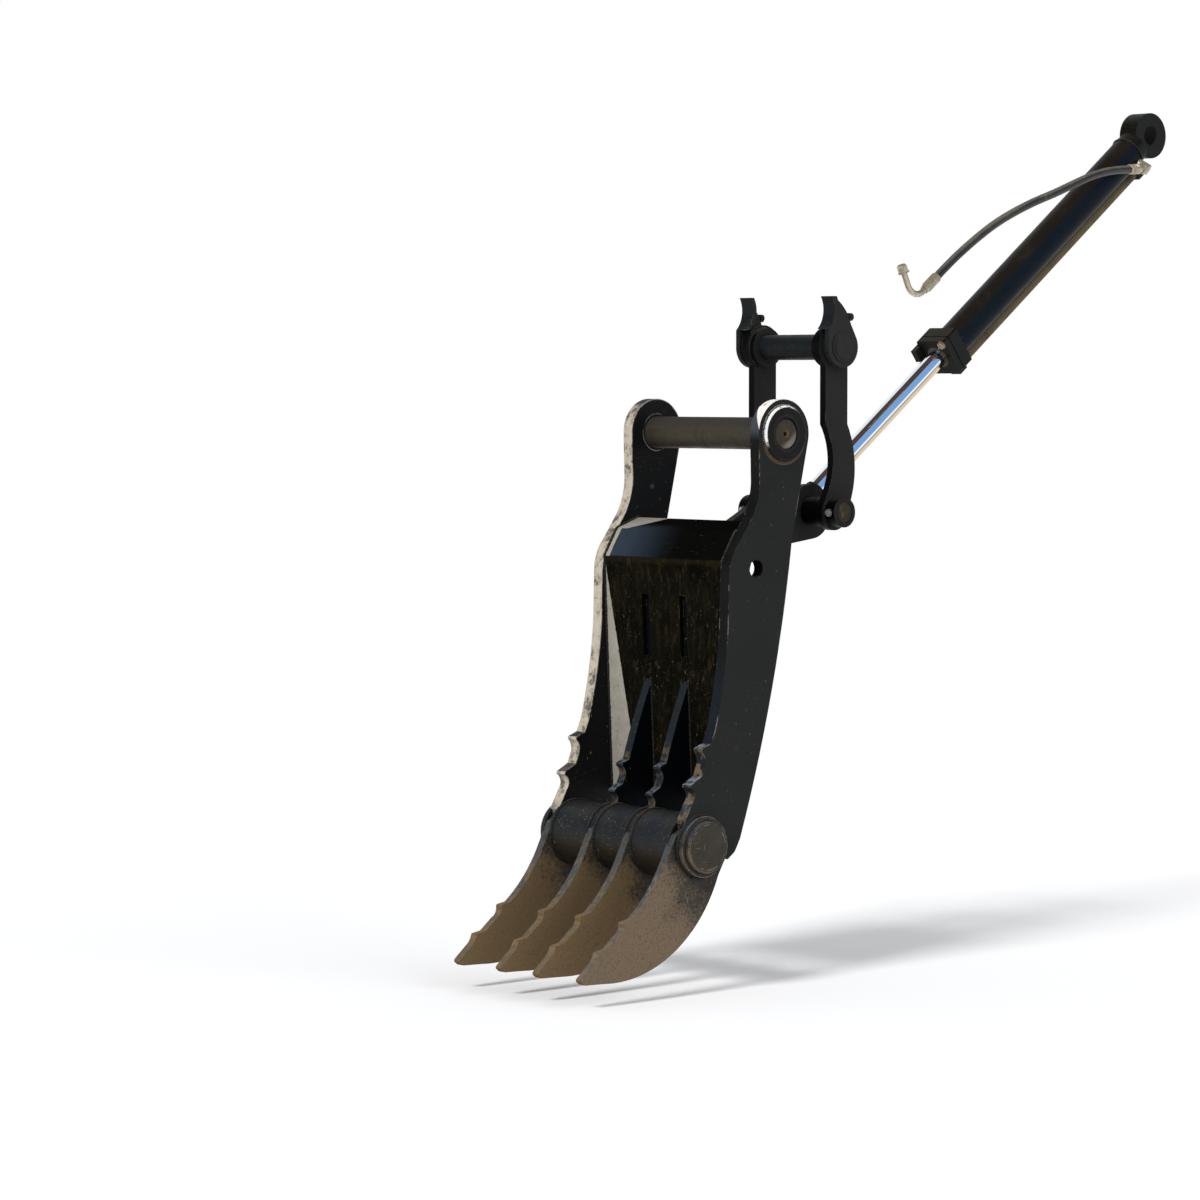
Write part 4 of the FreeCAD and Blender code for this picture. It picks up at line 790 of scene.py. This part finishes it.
# The drive links are bowed 20 mm plates that hang from the upper pin and carry the knuckle
# hubs. Each hub is welded into its link, and a cross bolt through it locks the knuckle pin.
KNUCKLE_PLACE = (0.284, -0.202)
LINK_PLACE = (0.284, 0.216)
finish_in(link_paint, "drive_link_near", "drive_link_far", "link_boss_near", "link_boss_far", "knuckle_hub_near",
          "knuckle_hub_far")
knuckle_paint = painted_steel("knuckle_pin_paint", (0.0150, 0.0145, 0.0125), (0.052, 0.043, 0.027), cover=0.42, on_top=0.1,
                              patch=26.0, specks=0.08, speck_size=210.0, speck_colour=(0.085, 0.068, 0.042), wear=0.6,
                              reach=0.002, steel=(0.12, 0.11, 0.09), gloss=0.42, shine=0.05)
finish_in(knuckle_paint, "knuckle_pin")
rings = []
for side in (-1, 1):
    rings.append(((KNUCKLE_PLACE[0], side * 0.141, KNUCKLE_PLACE[1]), ACROSS, 0.0390, 0.0035))
    rings.append(((KNUCKLE_PLACE[0], side * 0.121, KNUCKLE_PLACE[1]), ACROSS, 0.0390, 0.0035))
    rings.append(((LINK_PLACE[0], side * 0.121, LINK_PLACE[1]), ACROSS, 0.0505, 0.0025))
weld("drive_link_welds", "drive_links", rings, step=0.004)

bolt_heads, given = geometry_tree("bolt_heads", [("Across", "Float", 0.019), ("Height", "Float", 0.008),
                                                 ("Washer", "Float", 0.0015), ("Finish", "Material", None)])
across = math_of(bolt_heads, "DIVIDE", given["Across"], math.sqrt(3))
washer_radius = math_of(bolt_heads, "MULTIPLY", given["Across"], 0.62)
body_height = math_of(bolt_heads, "MULTIPLY", given["Height"], 0.82)
crown_height = math_of(bolt_heads, "MULTIPLY", given["Height"], 0.18)
washer = wire(bolt_heads, "GeometryNodeMeshCylinder", {"Vertices": 28, "Radius": washer_radius, "Depth": given["Washer"]})
head = wire(bolt_heads, "GeometryNodeMeshCylinder", {"Vertices": 6, "Radius": across, "Depth": body_height})
crown = wire(bolt_heads, "GeometryNodeMeshCone", {"Vertices": 6, "Radius Bottom": across, "Depth": crown_height,
             "Radius Top": math_of(bolt_heads, "MULTIPLY", across, 0.84)})


def raised(tree, geometry, height):
    """The geometry, lifted along Z."""
    lift = wire(tree, "ShaderNodeCombineXYZ", {2: height})
    return wire(tree, "GeometryNodeTransform", {"Geometry": geometry, "Translation": lift.outputs[0]}).outputs[0]


bottom = given["Washer"]
whole = wire(bolt_heads, "GeometryNodeJoinGeometry")
for geometry, height in (
        (washer.outputs["Mesh"], math_of(bolt_heads, "MULTIPLY", bottom, 0.5)),
        (head.outputs["Mesh"], math_of(bolt_heads, "ADD", bottom, math_of(bolt_heads, "MULTIPLY", body_height, 0.5))),
        (crown.outputs["Mesh"], math_of(bolt_heads, "ADD", bottom, body_height))):
    bolt_heads.links.new(raised(bolt_heads, geometry, height), whole.inputs[0])
axis = wire(bolt_heads, "GeometryNodeInputNamedAttribute", {"Name": "axis"}, data_type="FLOAT_VECTOR").outputs[0]
aim = wire(bolt_heads, "FunctionNodeAlignRotationToVector", {"Vector": axis}, axis="Z")
held = wire(bolt_heads, "GeometryNodeInstanceOnPoints", {"Points": given["Geometry"], "Instance": whole.outputs[0],
            "Rotation": aim.outputs[0]})
solid = wire(bolt_heads, "GeometryNodeRealizeInstances", {"Geometry": held.outputs[0]})
filled = wire(bolt_heads, "GeometryNodeSetMaterial", {"Geometry": solid.outputs[0], "Material": given["Finish"]})
wire(bolt_heads, "NodeGroupOutput", {0: filled.outputs[0]})


def bolts(name, body, node, places, across, height, finish=zinc):
    """Hexagon heads on washers, each with a place and a direction, for one node of plain ones."""
    aims = [number for place, along in places for number in along]
    piece = made_by(bolt_heads, name, [place for place, along in places], [],
                    {"Across": across, "Height": height, "Finish": finish}, {"axis": ("FLOAT_VECTOR", aims)})
    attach(piece, body)
    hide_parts(node)
    return piece


HUB_FRONT = 0.038
cross_bolts = []
for side in (-1, 1):
    for way in (-1, 1):
        cross_bolts.append(((KNUCKLE_PLACE[0] + way * (HUB_FRONT - 0.0006), side * 0.1585, KNUCKLE_PLACE[1]), (way, 0, 0)))
bright_zinc = bare_metal("rubbed_zinc", (0.44, 0.42, 0.39), 0.38, tint=(0.14, 0.125, 0.105), dirt=0.30)
bolts("cross_bolt_heads", "drive_links", "knuckle_bolts", cross_bolts, 0.016, 0.0065, bright_zinc)

# The follower link ties the knuckle to the thumb: two cranked arms, a web and a hub.
FOLLOWER_PLACE = (0.0, -0.418)
finish_in(link_paint, "follower_arm_near", "follower_arm_far", "follower_hub", "follower_web")
weld("follower_welds", "follower_link",
     [((FOLLOWER_PLACE[0], side * 0.0295, FOLLOWER_PLACE[1]), ACROSS, 0.0455, 0.0025) for side in (-1, 1)], step=0.004)

# The cylinder's rod is hard chrome with faint oily smears, and its eye is a painted forging
# welded to it. A dark horizon line and tan ground are painted on the rod's lower side as reflections.
BASE_PLACE = (1.610, 0.805)
ROD_LINE = Vector((BASE_PLACE[0] - KNUCKLE_PLACE[0], 0, BASE_PLACE[1] - KNUCKLE_PLACE[1])).normalized()


def on_rod(distance, y=0.0, rise=0.0):
    """A place counted along the cylinder from the knuckle pin, across it, and square to both."""
    up = Vector((-ROD_LINE.z, 0, ROD_LINE.x))
    return Vector((KNUCKLE_PLACE[0], 0, KNUCKLE_PLACE[1])) + distance * ROD_LINE + Vector((0, y, 0)) + rise * up


def near_face_light(tree, place):
    """The flat faces toward the near side only, painted a greyer black as light falling on them."""
    return math_of(tree, "MULTIPLY", looks(tree, "Y", -0.93, -0.98), 0.85)


chrome = bpy.data.materials.new("hard_chrome")
chrome.use_nodes = True
tree = chrome.node_tree
place = wire(tree, "ShaderNodeTexCoord").outputs["Object"]
skin = tree.nodes["Principled BSDF"]
smear = noise(tree, place, 14.0, 5.0)
bright = mixed(tree, smear, (0.84, 0.86, 0.88), (0.93, 0.94, 0.95))
# Painted reflections: a dark horizon line just below the rod's middle and tan ground below it.
bright = mixed(tree, math_of(tree, "MULTIPLY", looks(tree, "Z", -0.005, -0.03), 0.85), bright, (0.12, 0.10, 0.08))
bright = mixed(tree, math_of(tree, "MULTIPLY", looks(tree, "Z", -0.09, -0.13), 0.95), bright, (0.70, 0.56, 0.39))
tree.links.new(bright, skin.inputs["Base Color"])
tree.links.new(ramp(tree, smear, 0.30, 3.0), skin.inputs["Roughness"])
skin.inputs["Metallic"].default_value = 1.0
finish_in(chrome, "piston_rod")
# The near flat faces are painted greyer, as light.
cylinder_paint = painted_steel("cylinder_paint", (0.0060, 0.0052, 0.0036), (0.026, 0.021, 0.013), cover=0.20, on_top=0.2,
                               specks=0.04, speck_size=180.0, speck_colour=(0.08, 0.06, 0.035), wear=0.45, reach=0.003,
                               steel=(0.12, 0.10, 0.075), scratched=0.12, gloss=0.36, shine=0.06,
                               layers=[(near_face_light, (0.0125, 0.0135, 0.0135))])
finish_in(cylinder_paint, "rod_eye", "gland_block", "barrel_base")
finish_in(bare_metal("cast_piston", (0.22, 0.22, 0.22), 0.5), "piston", "piston_nut")
weld("rod_eye_weld", "rod", [(on_rod(0.085), ROD_LINE, 0.0262, 0.0025)], step=0.004)

# The barrel is a drawn tube between a square gland block and the base. A thin tube under it
# carries oil to the gland, and its paint is under a tan crust of dust.
crust = painted_steel("dusty_tube_paint", (0.024, 0.021, 0.015), (0.125, 0.098, 0.056), cover=0.62, on_top=0.2, patch=16.0,
                      specks=0.15, speck_colour=(0.12, 0.095, 0.06), wear=0.5, steel=(0.17, 0.14, 0.10))
finish_in(crust, "transfer_tube")


def barrel_sheen(tree, place):
    """A painted blue black sheen below the barrel's brown dusty top."""
    return looks(tree, "Z", 0.62, 0.34)


barrel_paint = painted_steel("barrel_paint", (0.0100, 0.0078, 0.0056), (0.030, 0.024, 0.016), cover=0.20, on_top=0.1,
                             specks=0.03, speck_size=180.0, speck_colour=(0.08, 0.06, 0.035), wear=0.4, reach=0.003,
                             steel=(0.12, 0.10, 0.075), scratched=0.12, gloss=0.34, shine=0.05,
                             layers=[(barrel_sheen, (0.0042, 0.0074, 0.0118))])
finish_in(barrel_paint, "barrel_tube")
weld("barrel_welds", "barrel", [(on_rod(0.7118), ROD_LINE, 0.0455, 0.0030), (on_rod(1.5850), ROD_LINE, 0.0455, 0.0030)],
     step=0.004)
gland_places = [(tuple(on_rod(0.652, side * 0.038, -side * 0.041)), tuple(-ROD_LINE)) for side in (-1, 1)]
bolts("gland_bolt_heads", "barrel", "gland_bolts", gland_places, 0.019, 0.0070)

# The hose feeds the base end of the cylinder: a 22 mm rubber hose, crimped to a plated ferrule
# at each end. It hangs in one slack curve beside the barrel, and a bent pipe with a nut ends it.
hose_points = [(1.479, -0.066, 0.707), (1.399, -0.078, 0.702), (1.308, -0.090, 0.685), (1.218, -0.102, 0.658),
               (1.131, -0.112, 0.630), (1.046, -0.120, 0.606), (0.965, -0.126, 0.578), (0.890, -0.130, 0.547),
               (0.825, -0.133, 0.513), (0.765, -0.135, 0.477), (0.708, -0.135, 0.439), (0.657, -0.135, 0.400)]
hose_curve = bpy.data.curves.new("hose_cover", "CURVE")
hose_curve.dimensions = "3D"
hose_curve.bevel_depth = 0.011
hose_curve.bevel_resolution = 6
hose_curve.use_fill_caps = True
spline = hose_curve.splines.new("NURBS")
spline.points.add(len(hose_points) - 1)
for point, place in zip(spline.points, hose_points):
    point.co = place + (1,)
spline.order_u = 3
spline.use_endpoint_u = True
spline.resolution_u = 10
hose = bpy.data.objects.new("hose_cover", hose_curve)
scene.collection.objects.link(hose)
rubber = bpy.data.materials.new("hose_rubber")
rubber.use_nodes = True
tree = rubber.node_tree
place = wire(tree, "ShaderNodeTexCoord").outputs["Object"]
dust = wire(tree, "ShaderNodeGroup", {"Place": place}, node_tree=dust_group)
dust.inputs["Cover"].default_value = 0.24
dust.inputs["On Top"].default_value = 0.45
skin = tree.nodes["Principled BSDF"]
tree.links.new(mixed(tree, dust.outputs["Cover"], (0.010, 0.010, 0.011), (0.10, 0.086, 0.064)), skin.inputs["Base Color"])
tree.links.new(math_of(tree, "ADD", math_of(tree, "MULTIPLY", dust.outputs["Cover"], 0.4), 0.42), skin.inputs["Roughness"])
skin.inputs["Specular IOR Level"].default_value = 0.4
cloth = noise(tree, place, 900.0, 2.0)
tree.links.new(wire(tree, "ShaderNodeBump", {"Height": cloth, "Strength": 0.25, "Distance": 0.0006}).outputs[0], skin.inputs["Normal"])
hose_curve.materials.append(rubber)
finish_in(rubber, "piston_seals", "rod_wiper")

FERRULE = 0.014
crimps = [(0.0, 0.0116), (0.001, 0.0132)]
for index in range(7):
    start = 0.003 + index * 0.0055
    crimps.extend([(start, FERRULE), (start + 0.0035, FERRULE), (start + 0.0040, 0.0128), (start + 0.0050, 0.0128)])
crimps.extend([(0.0425, FERRULE), (0.0465, FERRULE), (0.0475, 0.0112), (0.058, 0.0112)])
ends = [(hose_points[0], Vector(hose_points[0]) - Vector(hose_points[1]), crimps),
        (hose_points[-1], Vector(hose_points[-1]) - Vector(hose_points[-2]), crimps)]
ferrules = turned("crimped_ferrules", ends)
fitting_zinc = bare_metal("hose_fitting_zinc", (0.52, 0.47, 0.36), 0.38, tint=(0.18, 0.145, 0.095), dirt=0.38)
ferrules.data.materials.append(fitting_zinc)
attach(ferrules, "barrel")
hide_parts("hose_ferrules")
pipe_tip, pipe_corner = Vector((0.536, -0.135, 0.408)), Vector((0.571, -0.135, 0.334))
nut = bolts("pipe_end_nut", "barrel", "hose_end_nut", [(tuple(pipe_tip), tuple((pipe_tip - pipe_corner).normalized()))],
            0.024, 0.0200, fitting_zinc)
finish_in(fitting_zinc, "hose_end_pipe", "port_fitting")
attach(hose, "barrel")
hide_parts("hose")
